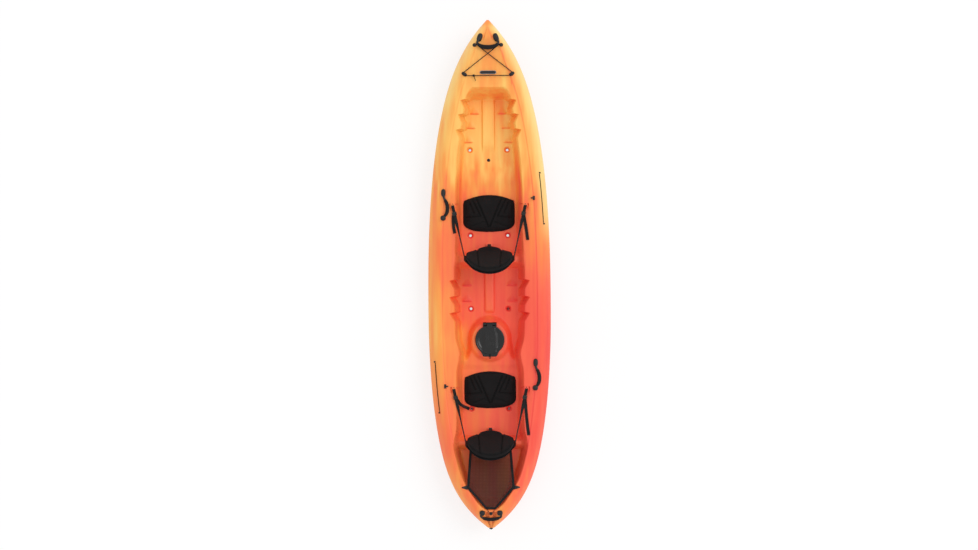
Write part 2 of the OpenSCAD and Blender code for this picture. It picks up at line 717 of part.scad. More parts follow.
module right_handle_grip() {
  color([0.05, 0.05, 0.05])
    at_right()
      handle_grip(side_foot, side_reach, side_out);
}

// Pan-head screws that hold every fitting down
hook_l = 40;
module fitting_screws() {
  color([0.55, 0.55, 0.57]) {
    for (i = [0:7])
      for (s = [-1, 1])
        translate([foot_spots[i][0] + (i > 3 ? s * 12 : 0), foot_spots[i][1]
          + (i > 3 ? 0 : s * 12), pair_top(i - i % 2) + 4])
          pan_screw(3.4, 2);
    for (p = hook_spots)
      for (s = [-1, 1])
        translate([p[0], p[1] + s * 9, boss_top(p[0], p[1], pad_foot_r) + 4])
          pan_screw(3.4, 2);
    for (p = anchor_spots)
      translate([p[0], p[1] + 8, boss_top(p[0], p[1], pad_foot_r) + 3])
        pan_screw(3.4, 2);
    for (p = clip_spots)
      translate([p[0], p[1], boss_top(p[0], p[1], pad_foot_r) + 4])
        pan_screw(4.5, 2);
  }
}

// Bow bungee: posts and a crossed loop of cord round their stems
post_h = 8;
function post_base(p) = boss_top(p[0], p[1], post_foot_r);
module bungee_posts() {
  color([0.06, 0.06, 0.06])
    for (p = post_spots)
      translate([p[0], p[1], post_base(p)])
        rotate_extrude($fn = 32)
          polygon([[0, 0], [post_foot_r, 0], [post_foot_r, 2], [post_r + 1, 4], [post_r, 4],
            [post_r, 4 + post_h], [post_r + 6, 4 + post_h], [post_r + 6, 6 + post_h],
            [post_r + 2, 8 + post_h], [0, 8 + post_h]]);
}
wrap_r = post_r + bungee_r + soft_gap;
function post_mid(i) = [post_spots[i][0], post_spots[i][1], post_base(post_spots[i]) + 4 + post_h / 2];
function arc_at(i, from, to, n = 4) = [for (k = [0:n]) let (a = mix(from, to, k / n))
  post_mid(i) + [wrap_r * cos(a), wrap_r * sin(a), 0]];
function lift(a, b, t, h) = mix(a, b, t) + [0, 0, h];
// The cord hooks over the front posts and crosses itself over the foredeck
bungee_runs = [arc_at(0, 202, 52), arc_at(2, 52, -90), arc_at(3, -90, -232), arc_at(1, 128, -22)];
function crossing(a, b, h) = [lift(a, b, 0.3, 0), lift(a, b, 0.5, h), lift(a, b, 0.7, 0)];
module bow_bungee() {
  r = bungee_runs;
  p = concat(r[0], crossing(r[0][4], r[1][0], -3.4), r[1], [mix(r[1][4], r[2][0], 0.4),
    mix(r[1][4], r[2][0], 0.8)], r[2], crossing(r[2][4], r[3][0], 3.4), r[3]);
  color([0.05, 0.05, 0.05])
    cord(p, bungee_r);
}
// Knot round the rear run and its free tail
module bow_bungee_tail() {
  k = mix(bungee_runs[1][4], bungee_runs[2][0], 0.8);
  color([0.05, 0.05, 0.05]) {
    translate(k)
      rotate([0, 90, 0])
        rotate_extrude($fn = 32)
          translate([bungee_r + soft_gap + 2.6, 0])
            circle(r = 2.6, $fn = 16);
    cord([k + [0, -6, 0], k + [4, -14, 0], k + [9, -26, -1], k + [12, -38, -2]], bungee_r - 0.4);
  }
}

// Paddle keeper cords along the gunwale, their end plugs and the paddle hooks
keeper_in = 38;
function keeper_point(s, y) = let (x = s * (half_beam(y) - keeper_in))
  [x, y, deck_z(x, y) + keeper_r + soft_gap];
function keeper_path(s, y0, y1) = [for (i = [0:9]) keeper_point(s, mix(y0, y1, i / 9))];
module left_paddle_cord() {
  color([0.05, 0.05, 0.05])
    cord(keeper_path(-1, ry + 199, ry - 150), keeper_r);
}
module right_paddle_cord() {
  color([0.05, 0.05, 0.05])
    cord(keeper_path(1, fy + 278, fy - 71), keeper_r);
}
module keeper_plug(s, y, way) {
  p = keeper_point(s, y + way * 8);
  translate(p + [0, 0, -5])
    rotate([0, s * 45, 0])
      cylinder(r = 6, h = 9);
}
module paddle_cord_plugs() {
  color([0.06, 0.06, 0.06]) {
    keeper_plug(1, fy + 278, 1);
    keeper_plug(1, fy - 71, -1);
    keeper_plug(-1, ry + 199, 1);
    keeper_plug(-1, ry - 150, -1);
  }
}
module paddle_hooks() {
  color([0.06, 0.06, 0.06])
    for (p = hook_spots)
      translate([p[0], p[1], boss_top(p[0], p[1], pad_foot_r)]) {
        translate([-8, -15, 0])
          cube([16, 30, 4]);
        translate([-4, -5, 0])
          cube([8, 10, 14]);
        translate([p[0] > 0 ? -22 : -4, -5, 14])
          cube([26, 10, 4]);
        translate([p[0] > 0 ? -22 : 18, -5, 9])
          cube([4, 10, 6]);
      }
}

// Seat straps: anchors on the deck, webbing, buckles and tails
anchor_bar = 9;
function anchor_top(k) = boss_top(anchor_spots[k][0], anchor_spots[k][1], pad_foot_r);
module strap_anchors() {
  color([0.06, 0.06, 0.06])
    for (k = [0:3])
      translate([anchor_spots[k][0], anchor_spots[k][1], anchor_top(k)]) {
        translate([-14, -12, 0])
          cube([28, 24, 3]);
        for (s = [-1, 1])
          translate([s * (strap_w / 2 + 2.9) - 1.6, -11, 0])
            cube([3.2, 10, anchor_bar + 3]);
        translate([-strap_w / 2 - 4.5, -6, anchor_bar])
          rotate([0, 90, 0])
            cylinder(r = 2.5, h = strap_w + 9);
      }
}
// Backrest frame: s up the slope, n towards the bow, both from the hinge pin
function back_point(k, x, s, n) = [x, hinge_ys[k] - s * sin(back_lean) + n * cos(back_lean),
  hinge_z + s * cos(back_lean) + n * sin(back_lean)];
function back_side(f) = back_wrap * pow(f, 2);
ear_s = 181;
ear_w = 16;
function strap_end(k, s) = back_point(k, s * (back_half + ear_w - 4), ear_s,
  back_side(1) - back_t + strap_t + 4.5);
function strap_start(k, s) = let (i = 2 * k + (s > 0 ? 1 : 0))
  [s * anchor_x, anchor_spots[i][1] - 6, anchor_top(i) + anchor_bar];
// Webbing laps the anchor bar, lies flat through the buckle, then turns on edge
function strap_path(k, s) = let (a = strap_start(k, s), b = strap_end(k, s), r = 2.5 + soft_gap
  + strap_t / 2, c = a + [0, 0, r]) concat([a + [0, -6, -r]],
  [for (w = [-90:30:90]) a + [0, r * cos(w), r * sin(w)]],
  [for (t = [0.08, 0.16, 0.26, 0.36, 0.46, 0.6, 0.8, 1]) mix(c, b, t)]);
strap_rolls = [0, 0, 0, 0, 0, 0, 0, 0, 0, 0, 0, 30, 65, 90, 90, 90];
strap_flat = 8;
module strap(k, s) {
  p = strap_path(k, s);
  color([0.05, 0.05, 0.05])
    bar_along(p, [for (v = p) flat_shape(strap_w, strap_t)], [for (r = strap_rolls) s * r],
      [for (i = [0:len(p) - 1]) i < strap_flat ? [1, 0, 0] : cross([0, 0, 1], way(p, i))]);
}
module front_left_strap() {
  strap(0, -1);
}
module front_right_strap() {
  strap(0, 1);
}
module rear_left_strap() {
  strap(1, -1);
}
module rear_right_strap() {
  strap(1, 1);
}
// Frame of a buckle on the flat run of a strap
module at_buckle(k, s) {
  p = strap_path(k, s);
  d = p[strap_flat + 1] - p[strap_flat];
  translate(mix(p[strap_flat], p[strap_flat + 1], 0.9))
    rotate([0, 0, atan2(d[1], d[0]) + 90])
      rotate([atan2(-d[2], norm([d[0], d[1]])), 0, 0])
        children();
}
module strap_buckles() {
  color([0.05, 0.05, 0.05])
    for (k = [0, 1])
      for (s = [-1, 1])
        at_buckle(k, s)
          difference() {
            translate([-strap_w / 2 - 5, -13, -4.5])
              cube([strap_w + 10, 26, 10]);
            translate([-strap_w / 2 - 0.8, -20, -strap_t / 2 - 0.5])
              cube([strap_w + 1.6, 40, strap_t + 1]);
            translate([-strap_w / 2 - 0.8, -6, strap_t])
              cube([strap_w + 1.6, 8, 10]);
          }
}
// Free ends of the webbing, from each buckle aft, kept over the deck
tail_runs = [[[[-8, -11, -8.3], [-9, -50, -11], [-6, -95, -13], [2, -140, -15]],
  [[2, -11, -8.3], [10, -60, -12], [20, -120, -16], [29, -190, -20]]],
  [[[8, -11, -8.3], [30, -45, -30], [55, -66, -95], [80, -80, -160], [97, -90, -165]],
  [[2, -11, -8.3], [8, -95, -14], [16, -185, -16], [26, -272, -18]]]];
function over_deck(x, y, z) = 2.4 + max(z, deck_z(x - 13, y), deck_z(x, y), deck_z(x + 13, y));
module tail(k, s) {
  p = strap_path(k, s);
  c = mix(p[strap_flat], p[strap_flat + 1], 0.9);
  q = [for (v = tail_runs[k][s > 0 ? 1 : 0]) let (x = c[0] + v[0], y = c[1] + v[1])
    [x, y, over_deck(x, y, c[2] + v[2])]];
  color([0.05, 0.05, 0.05])
    bar_along(q, [for (v = q) flat_shape(strap_w, strap_t)]);
}
module front_strap_tails() {
  tail(0, -1);
  tail(0, 1);
}
module rear_strap_tails() {
  tail(1, -1);
  tail(1, 1);
}

// Seat pads: crowned, with drawn-in sides and diagonal channels
function pad_half(v) = pad_w / 2 * (v > 0.72 ? 1 - 0.03 * (v - 0.72) / 0.28
  : v < -0.45 ? sqrt(max(0.02, 1 - 0.72 * pow((-0.45 - v) / 0.55, 2.6))) : 1)
  * (1 - 0.012 * pow(v, 2));
function pad_front(u) = pad_l / 2 - 42 * pow(abs(u), 2);
function pad_y(u, v) = v > 0 ? v * pad_front(u) : v * (pad_l / 2 - 6 * pow(u, 2));
function vee(y) = max(16, 8 + 82 * (y + 94) / 195);
function groove(d, w) = max(0, 1 - pow(d / w, 2));
function pad_dip(x, y) = pad_groove * max(groove(abs(x) - vee(y), 7),
  groove(abs(x) - vee(y) - 36, 7) * smooth((y + 24) / 12), 0.7 * groove(y + 24, 8));
function pad_top(u, v, x, y) = let (e = max(abs(u), abs(v)))
  pad_edge_t * (e > 0.99 ? 0.45 : e > 0.93 ? 0.9 : 1)
  + (e > 0.93 ? 0 : pad_crown * (1 - pow(u, 4)) * (1 - pow(v, 4)) - pad_dip(x, y));
pad_rows = [-1, -0.95, -0.78, -0.5, -0.24, -0.177, -0.11, 0.15, 0.4, 0.68, 0.95, 1];
function pad_us(y) = let (h = pad_w / 2, a = vee(y), c = sorted([0, 0.45 * a, a - 7, a, a + 7,
  a + 29, a + 36, a + 43, 0.82 * h + 0.02 * a, 0.95 * h, h])) [for (x = c) min(1, x / h)];
module seat_pad(y0) {
  z0 = seat_z + soft_gap;
  grid = [for (v = pad_rows) let (us = both(pad_us(v * pad_l / 2)))
    [for (u = us) let (x = u * pad_half(v), y = pad_y(u, v)) [x, y0 + y, z0 + pad_top(u, v, x, y)]]];
  low = [for (r = grid) [for (p = r) [p[0] * 0.985, y0 + (p[1] - y0) * 0.985, z0]]];
  color([0.04, 0.04, 0.045])
    sheet_solid(grid, low);
}
module front_seat_pad() {
  seat_pad(fy);
}
module rear_seat_pad() {
  seat_pad(ry);
}

// Backrests: hinge brackets, pins, hinge plates, curved shells and padded fronts
lug_half = 12;
module backrest_brackets() {
  color([0.06, 0.06, 0.06])
    for (y = hinge_ys)
      translate([0, y, seat_z])
        difference() {
          union() {
            translate([-24, -10, 0])
              cube([48, 24, 3]);
            for (s = [-1, 1])
              translate([s * (lug_half + 3.2) - 2.5, 0, 0]) {
                translate([0, -8, 0])
                  cube([5, 16, hinge_z - seat_z]);
                translate([0, 0, hinge_z - seat_z])
                  rotate([0, 90, 0])
                    cylinder(r = 8, h = 5);
              }
          }
          translate([-40, 0, hinge_z - seat_z])
            rotate([0, 90, 0])
              cylinder(r = back_pin_r, h = 80);
        }
}
module backrest_pins() {
  color([0.6, 0.6, 0.62])
    for (y = hinge_ys)
      translate([-20, y, hinge_z])
        rotate([0, 90, 0])
          cylinder(r = back_pin_r, h = 40);
}
module at_back(k) {
  translate([0, hinge_ys[k], hinge_z])
    rotate([back_lean, 0, 0])
      children();
}
// The plate lies along the sloping foot of the pad: distance ahead, distance up the slope
back_low = 14;
bevel = 0.72;
bevel_low = 0.04;
bevel_high = 0.12;
plate_low = [(bevel - 1) * back_t + 1.1 * soft_gap, mix(back_low, back_h, bevel_low)];
plate_high = [1.1 * soft_gap, mix(back_low, back_h, bevel_high)];
module hinge_plate(k) {
  color([0.06, 0.06, 0.06])
    at_back(k)
      difference() {
        union() {
          translate([-lug_half, 0, 0])
            rotate([0, 90, 0])
              cylinder(r = 7, h = 2 * lug_half);
          translate([-lug_half, 0, 0])
            rotate([90, 0, 90])
              linear_extrude(2 * lug_half)
                polygon([[-5, 0], [5, 0], plate_high + [3, 0], plate_high, plate_low]);
        }
        translate([-40, 0, 0])
          rotate([0, 90, 0])
            cylinder(r = back_pin_r + run_gap, h = 80);
      }
}
module front_hinge_plate() {
  hinge_plate(0);
}
module rear_hinge_plate() {
  hinge_plate(1);
}
// Outline of a backrest: scalloped foot and round top along its slope, meeting at the side tips
tip_low = ear_s - 28;
tip_high = ear_s + 24;
function back_foot(f) = mix(back_low, tip_low, pow(abs(f), 2.1)) + 8 * groove(abs(f) - 0.5, 0.04);
function back_top(f) = mix(tip_high, back_h, sqrt(1 - pow(abs(f), 2.2)));
function back_s(f, t) = mix(back_foot(f), back_top(f), t);
back_rows = [0, bevel_low, bevel_high, 0.24, 0.36, 0.44, 0.52, 0.62, 0.72, 0.82, 0.9, 0.96, 1];
back_cols = [-1, -0.94, -0.78, -0.62, -0.53, -0.5, -0.47, -0.38, -0.18, 0, 0.18, 0.38, 0.47, 0.5,
  0.53, 0.62, 0.78, 0.94, 1];
function back_dip(f) = 7 * groove(abs(f) - 0.5, 0.04);
function back_face(f, t) = let (e = max(abs(f), abs(2 * t - 1))) e > 0.99 ? 11
  : e > 0.91 ? back_t * bevel : back_t - 4 * pow(f, 4) - back_dip(f);
module backrest_pad(k) {
  front = [for (t = back_rows) [for (f = back_cols)
    back_point(k, f * back_half, back_s(f, t), back_side(f) - back_t + back_face(f, t))]];
  rear = [for (t = back_rows) [for (f = back_cols)
    back_point(k, f * back_half, back_s(f, t), back_side(f) - back_t)]];
  color([0.04, 0.04, 0.045])
    sheet_solid(front, rear);
}
module front_backrest_pad() {
  backrest_pad(0);
}
module rear_backrest_pad() {
  backrest_pad(1);
}
shell_rows = [0.02, 0.2, 0.4, 0.6, 0.8, 0.98];
shell_cols = [-1, -0.93, -0.62, -0.3, 0, 0.3, 0.62, 0.93, 1];
shell_t = 3;
shell_set = soft_gap + 1;
function shell_x(f) = f * (abs(f) > 0.99 ? back_half + ear_w : back_half - 3);
function shell_point(k, f, t, n) = back_point(k, shell_x(f), back_s(f, t),
  back_side(min(1, abs(shell_x(f)) / back_half)) - back_t - n);
module backrest_shell(k) {
  front = [for (t = shell_rows) [for (f = shell_cols) shell_point(k, f, t, shell_set)]];
  rear = [for (t = shell_rows) [for (f = shell_cols) shell_point(k, f, t, shell_set + shell_t)]];
  color([0.07, 0.07, 0.075])
    sheet_solid(front, rear);
}
module front_backrest_shell() {
  backrest_shell(0);
}
module rear_backrest_shell() {
  backrest_shell(1);
}

// Cargo net over the tankwell: mesh, binding, side clips, rear cords and eye
clip_top = boss_top(clip_spots[0][0], clip_spots[0][1], pad_foot_r);
net_front_z = ridge_z + 8;
net_side_z = clip_top + 4 + soft_gap;
net_rear_z = max(deck_z(0, net_rear_y), deck_z(net_rear, net_rear_y)) + 6;
net_rows = [[net_front_y, net_front, net_front_z], [net_side_y, net_side, net_side_z],
  [net_rear_y, net_rear, net_rear_z]];
module cargo_net() {
  rows = [for (r = net_rows) [for (u = [-1, 0, 1]) [u * (r[1] - 1), r[0], r[2]]]];
  up = [for (r = rows) [for (p = r) p + [0, 0, net_t]]];
  color([0.2, 0.12, 0.1, 0.8])
    rotate([0, 0, 180])
      sheet_solid([for (r = up) [for (p = r) [-p[0], -p[1], p[2]]]],
        [for (r = rows) [for (p = r) [-p[0], -p[1], p[2]]]]);
}
net_loop = [[-net_front, net_front_y], [-net_side, net_side_y], [-net_rear, net_rear_y],
  [net_rear, net_rear_y], [net_side, net_side_y], [net_front, net_front_y]];
function net_z(y) = y > net_side_y
  ? mix(net_side_z, net_front_z, (y - net_side_y) / (net_front_y - net_side_y))
  : mix(net_rear_z, net_side_z, (y - net_rear_y) / (net_side_y - net_rear_y));
function turn_left(v) = [-v[1], v[0]];
function inset(p, i, d) = let (n = len(p), a = unit(p[i] - p[(i + n - 1) % n]),
  b = unit(p[(i + 1) % n] - p[i]), u = turn_left(a), w = turn_left(b))
  p[i] + d * (u + w) / (1 + u * w);
module net_binding() {
  n = len(net_loop);
  outer = net_loop;
  inner = [for (i = [0:n - 1]) i == 1 || i == 4
    ? [sign(net_loop[i][0]) * (net_side - 1.15 * binding_w), net_side_y] : inset(net_loop, i, binding_w)];
  function pts(l, h) = [for (q = l) [q[0], q[1], net_z(q[1]) + h]];
  g = net_t + soft_gap;
  all = concat(pts(outer, g), pts(inner, g), pts(outer, g + 2), pts(inner, g + 2));
  color([0.04, 0.04, 0.04])
    polyhedron(all, [for (i = [0:n - 1]) let (j = (i + 1) % n) each concat(
      quad(i, n + i, n + j, j), quad(2 * n + i, 2 * n + j, 3 * n + j, 3 * n + i),
      quad(i, j, 2 * n + j, 2 * n + i), quad(n + i, 3 * n + i, 3 * n + j, n + j))],
      convexity = 6);
}
module net_clips() {
  color([0.05, 0.05, 0.05])
    for (p = clip_spots)
      translate([p[0], p[1], clip_top])
        difference() {
          union() {
            cylinder(r = 13, h = 4);
            translate([p[0] > 0 ? -21 : 0, -9, 0])
              cube([21, 18, 4]);
          }
          translate([0, 0, -1])
            cylinder(r = 2, h = 8);
        }
  color([0.05, 0.05, 0.05])
    for (s = [-1, 1])
      translate([s * (net_front - 14), ry - 377.5, ridge_z])
        cylinder(r = 9, h = net_front_z - ridge_z - soft_gap);
}
eye_top = boss_top(0, eye_y, post_foot_r);
module net_eye() {
  color([0.06, 0.06, 0.06])
    translate([0, eye_y, eye_top]) {
      cylinder(r = 12, h = 4);
      difference() {
        translate([-3, 0, 4])
          rotate([0, 90, 0])
            cylinder(r = 9, h = 6);
        translate([-10, 0, 7])
          rotate([0, 90, 0])
            cylinder(r = 4, h = 20);
        translate([-10, -12, -12])
          cube([20, 24, 12]);
      }
    }
}
module net_cords() {
  color([0.05, 0.05, 0.05]) {
    z = net_rear_z + net_t + soft_gap + 2 + 2.6;
    p = [[-net_rear + 8, net_rear_y + 8, z], [-24, net_rear_y - 6, z], [-12, eye_y + 6, eye_top + 8.5],
      [-6, eye_y + 0.5, eye_top + 7.2], [0, eye_y, eye_top + 7], [6, eye_y + 0.5, eye_top + 7.2],
      [12, eye_y + 6, eye_top + 8.5], [24, net_rear_y - 6, z], [net_rear - 8, net_rear_y + 8, z]];
    cord(p, 2);
  }
}

// Drain: bush in the transom, seal and screw plug
module at_drain(y) {
  translate([0, stern_y - y, drain_z])
    rotate([90, 0, 0])
      children();
}
module drain_bush() {
  color([0.06, 0.06, 0.06])
    at_drain(0)
      difference() {
        union() {
          cylinder(r = plug_head_r + 1, h = 3);
          translate([0, 0, -14])
            cylinder(r = plug_shank_r + 3 - run_gap, h = 14);
        }
        translate([0, 0, -20])
          cylinder(r = plug_shank_r + run_gap, h = 40);
      }
}
module drain_seal() {
  color([0.1, 0.1, 0.1])
    at_drain(4.5)
      rotate_extrude()
        translate([plug_shank_r + 2, 0])
          circle(r = 1.5, $fn = 20);
}
module drain_plug() {
  color([0.05, 0.05, 0.05])
    at_drain(6) {
      difference() {
        cylinder(r = plug_head_r, h = 8);
        for (s = [-1, 1])
          translate([s * 9 - 5, -20, 4])
            cube([10, 40, 6]);
      }
      translate([0, 0, -17])
        cylinder(r = plug_shank_r, h = 18);
    }
}

// Bare plate on the foredeck and the round plug in the front footwell
module bow_plate() {
  color([0.08, 0.08, 0.08])
    translate([-plate_l / 2, plate_y - plate_w / 2, plate_top()])
      cube([plate_l, plate_w, 2]);
}
module footwell_plug() {
  color([0.06, 0.06, 0.06])
    translate([0, fy + 384, foot_z])
      rotate_extrude()
        polygon([[0, 0], [12, 0], [12, 2], [9, 4], [0, 4]]);
}

deck_shell();
hull_shell();
hatch_ring();
hatch_gasket();
hatch_hinge_pin();
hatch_screws();
hatch_lid();
hatch_pull_tab();
bow_handle_feet();
bow_handle_bail();
bow_handle_grip();
stern_handle_feet();
stern_handle_bail();
stern_handle_grip();
left_handle_feet();
left_handle_bail();
left_handle_grip();
right_handle_feet();
right_handle_bail();
right_handle_grip();
fitting_screws();
bungee_posts();
bow_bungee();
bow_bungee_tail();
left_paddle_cord();
right_paddle_cord();
paddle_cord_plugs();
paddle_hooks();
strap_anchors();
front_left_strap();
front_right_strap();
rear_left_strap();
rear_right_strap();
strap_buckles();
front_strap_tails();
rear_strap_tails();
front_seat_pad();
rear_seat_pad();
backrest_brackets();
backrest_pins();
front_backrest_pad();
front_backrest_shell();
front_hinge_plate();
rear_backrest_pad();
rear_backrest_shell();
rear_hinge_plate();
cargo_net();
net_binding();
net_clips();
net_cords();
net_eye();
drain_bush();
drain_seal();
drain_plug();
bow_plate();
footwell_plug();
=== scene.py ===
import json
import bmesh
import bpy
import numpy as np
from mathutils import Matrix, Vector
from numpy import array, cos, exp, hypot, linspace, maximum, minimum, pi, radians, sin, sqrt, stack, where

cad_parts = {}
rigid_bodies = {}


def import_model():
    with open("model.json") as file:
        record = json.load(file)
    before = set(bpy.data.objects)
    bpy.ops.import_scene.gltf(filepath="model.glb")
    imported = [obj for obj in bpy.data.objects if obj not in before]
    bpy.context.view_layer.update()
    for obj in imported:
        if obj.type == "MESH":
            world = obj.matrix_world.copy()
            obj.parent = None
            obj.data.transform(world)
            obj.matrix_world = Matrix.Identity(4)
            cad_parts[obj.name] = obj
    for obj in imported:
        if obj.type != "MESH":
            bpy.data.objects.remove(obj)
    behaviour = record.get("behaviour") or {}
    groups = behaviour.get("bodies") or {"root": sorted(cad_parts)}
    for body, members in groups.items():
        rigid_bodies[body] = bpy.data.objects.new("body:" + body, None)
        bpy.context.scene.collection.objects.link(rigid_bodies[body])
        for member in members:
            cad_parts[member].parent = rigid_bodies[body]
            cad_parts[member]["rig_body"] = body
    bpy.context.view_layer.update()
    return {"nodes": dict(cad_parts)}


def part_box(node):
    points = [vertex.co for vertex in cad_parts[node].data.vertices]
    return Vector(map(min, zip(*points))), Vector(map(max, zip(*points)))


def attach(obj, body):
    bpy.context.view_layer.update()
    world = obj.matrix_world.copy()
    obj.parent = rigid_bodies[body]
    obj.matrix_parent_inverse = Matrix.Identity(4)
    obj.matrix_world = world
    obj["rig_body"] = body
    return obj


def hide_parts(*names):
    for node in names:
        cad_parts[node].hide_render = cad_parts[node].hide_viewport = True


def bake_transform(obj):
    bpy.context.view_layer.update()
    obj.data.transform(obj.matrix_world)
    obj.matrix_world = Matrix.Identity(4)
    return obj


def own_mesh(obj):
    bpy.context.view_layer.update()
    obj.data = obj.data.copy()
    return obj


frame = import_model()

nodes = frame["nodes"]
scene = bpy.context.scene
metre = 0.001


# Plain helpers
def clamp(t):
    return np.clip(t, 0.0, 1.0)


def smooth(t):
    c = clamp(t)
    return c * c * (3 - 2 * c)


def rise(v, start, run):
    return smooth((v - start) / run)


def fall(v, stop, run):
    return smooth((stop - v) / run)


def span(v, start, startRun, stop, stopRun):
    return rise(v, start, startRun) * fall(v, stop, stopRun)


def bell(v, middle, width):
    return exp(-((v - middle) / width) ** 2)


def mix(a, b, t):
    return a + (b - a) * t


def circle(n):
    return linspace(0, 2 * pi, n, endpoint=False)


def eased(y, plan):
    xs, vs = array(plan, float).T
    i = np.clip(np.searchsorted(xs, y, "right") - 1, 0, len(xs) - 2)
    return mix(vs[i], vs[i + 1], smooth((y - xs[i]) / (xs[i + 1] - xs[i])))


def along(y, plan):
    return np.interp(y, *array(plan, float).T)


def unit(v):
    v = np.asarray(v, float)
    return v / maximum(np.linalg.norm(v, axis=-1, keepdims=True), 1e-9)


def runs(path):
    return np.linalg.norm(np.diff(path, axis=0), axis=1)


def curved(points, steps):
    p = np.asarray(points, float)
    q = np.vstack([2 * p[0] - p[1], p, 2 * p[-1] - p[-2]])
    out = []
    for i in range(len(p) - 1):
        a, b, c, d = q[i:i + 4]
        for t in linspace(0, 1, steps, endpoint=False):
            out.append(0.5 * (2 * b + (c - a) * t + (2 * a - 5 * b + 4 * c - d) * t * t
                              + (3 * b - a - 3 * c + d) * t ** 3))
    out.append(p[-1])
    return array(out)


def linked(name, data):
    obj = bpy.data.objects.new(name, data)
    scene.collection.objects.link(obj)
    return obj


def shade(obj, sharp):
    obj.data.polygons.foreach_set("use_smooth", [True] * len(obj.data.polygons))
    obj.data.set_sharp_from_angle(angle=radians(sharp))
    return obj


def makeObject(name, verts, faces, sharp=35):
    mesh = bpy.data.meshes.new(name)
    mesh.from_pydata([tuple(v) for v in np.asarray(verts) * metre], [], [tuple(f) for f in faces])
    mesh.update()
    return shade(linked(name, mesh), sharp)


def places(obj):
    return array([v.co[:] for v in obj.data.vertices])


def mark(obj, name, values):
    kept = obj.data.attributes.new(name, "FLOAT", "POINT")
    kept.data.foreach_set("value", values.astype(np.float32))


def baked(obj):
    graph = bpy.context.evaluated_depsgraph_get()
    mesh = bpy.data.meshes.new_from_object(obj.evaluated_get(graph))
    obj.modifiers.clear()
    obj.data = mesh
    return obj


def paint(obj, finish):
    obj.data.materials.clear()
    obj.data.materials.append(mats[finish])


def settle(obj, finish, body, replaced):
    paint(obj, finish)
    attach(obj, body)
    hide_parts(replaced)


# Bar through rings of points, capped or closed into a loop
def ringMesh(rings, loop=False):
    rings = np.asarray(rings, float)
    m, n = rings.shape[:2]
    faces = []
    for i in range(m if loop else m - 1):
        a, b = i * n, (i + 1) % m * n
        faces += [(a + j, a + (j + 1) % n, b + (j + 1) % n, b + j) for j in range(n)]
    if not loop:
        faces += [tuple(range(n - 1, -1, -1)), tuple((m - 1) * n + j for j in range(n))]
    return rings.reshape(-1, 3), faces


def bar(name, rings, sharp=35):
    return makeObject(name, *ringMesh(rings), sharp)


def frames(path, sideHint):
    t = unit(np.gradient(path, axis=0))
    h = np.broadcast_to(np.asarray(sideHint, float), t.shape)
    s = unit(h - np.sum(h * t, axis=1, keepdims=True) * t)
    return s, np.cross(s, t)


def hoops(path, first, second, sides):
    a = circle(sides)[:, None]
    return path[:, None] + cos(a) * first[:, None] + sin(a) * second[:, None]


def tubeRings(path, radius, sides, sideHint=(0, 0, 1)):
    s, u = frames(path, sideHint)
    return hoops(path, radius * s, radius * u, sides)


def ovalRings(path, wide, tall, sides=18):
    s, u = frames(path, (0, 0, 1))
    return hoops(path, wide[:, None] * u, tall[:, None] * s, sides)


def ribbonRings(path, width, thick, rolls=0.0, sideHint=(1, 0, 0)):
    s, u = frames(path, sideHint)
    roll = radians(np.broadcast_to(rolls, len(path)))[:, None]
    a, b = cos(roll) * s + sin(roll) * u, cos(roll) * u - sin(roll) * s
    w, h = width / 2, thick / 2
    upper = [(w, 0.35 * h), (w - 0.5 * h, h), (0.5 * w, 1.04 * h), (0, h),
             (-0.5 * w, 1.04 * h), (-w + 0.5 * h, h), (-w, 0.35 * h)]
    shape = upper + [(-p, -q) for p, q in upper]
    return stack([path + p * a + q * b for p, q in shape], axis=1)


def lathe(profile, centre, steps=48, axis="z"):
    c, s = cos(circle(steps)), sin(circle(steps))
    rings = []
    for r, z in profile:
        r, flat = max(r, 0.01), np.full(steps, z)
        ring = {"x": (flat, r * c, r * s), "y": (r * c, flat, -r * s), "z": (r * c, r * s, flat)}[axis]
        rings.append(stack(ring, 1) + array(centre, float))
    return ringMesh(rings)


def joined(parts):
    verts, faces, base = [], [], 0
    for v, f in parts:
        verts.append(np.asarray(v, float))
        faces += [tuple(base + i for i in q) for q in f]
        base += len(v)
    return np.vstack(verts), faces


def cadCopy(node, name, width):
    mesh = nodes[node].data.copy()
    mesh.materials.clear()
    obj = linked(name, mesh)
    bm = bmesh.new()
    bm.from_mesh(mesh)
    bmesh.ops.remove_doubles(bm, verts=bm.verts, dist=1e-6)
    bmesh.ops.dissolve_limit(bm, angle_limit=radians(2), verts=bm.verts, edges=bm.edges)
    bm.to_mesh(mesh)
    bm.free()
    mod = obj.modifiers.new("edges", "BEVEL")
    mod.width = width
    mod.segments = 2
    mod.limit_method = "ANGLE"
    mod.angle_limit = radians(38)
    return shade(baked(obj), 30)


# Camera straight above the boat and soft studio light
studio = {"height": 20.25, "lens": 102.6, "sensor": 36, "far": 100, "shift": -0.0029, "turn": -0.4,
          "sky": 0.85, "key": 0.70, "keyTurn": (36, 0, 118), "keySoft": 30}


def setStudio():
    cam = bpy.data.cameras.new("photoCamera")
    cam.lens = studio["lens"]
    cam.sensor_width = studio["sensor"]
    cam.clip_end = studio["far"]
    scene.camera = linked("photoCamera", cam)
    scene.camera.location = (studio["shift"], 0, studio["height"])
    scene.camera.rotation_euler = (0, 0, radians(studio["turn"]))
    scene.world = bpy.data.worlds.new("studioSky")
    scene.world.use_nodes = True
    sky = scene.world.node_tree.nodes["Background"].inputs
    sky["Color"].default_value = (1, 1, 1, 1)
    sky["Strength"].default_value = studio["sky"]
    sun = bpy.data.lights.new("keyLight", "SUN")
    sun.energy = studio["key"]
    sun.angle = radians(studio["keySoft"])
    linked("keyLight", sun).rotation_euler = [radians(a) for a in studio["keyTurn"]]
    scene.view_settings.view_transform = "Standard"


setStudio()
print("stage: camera and light")


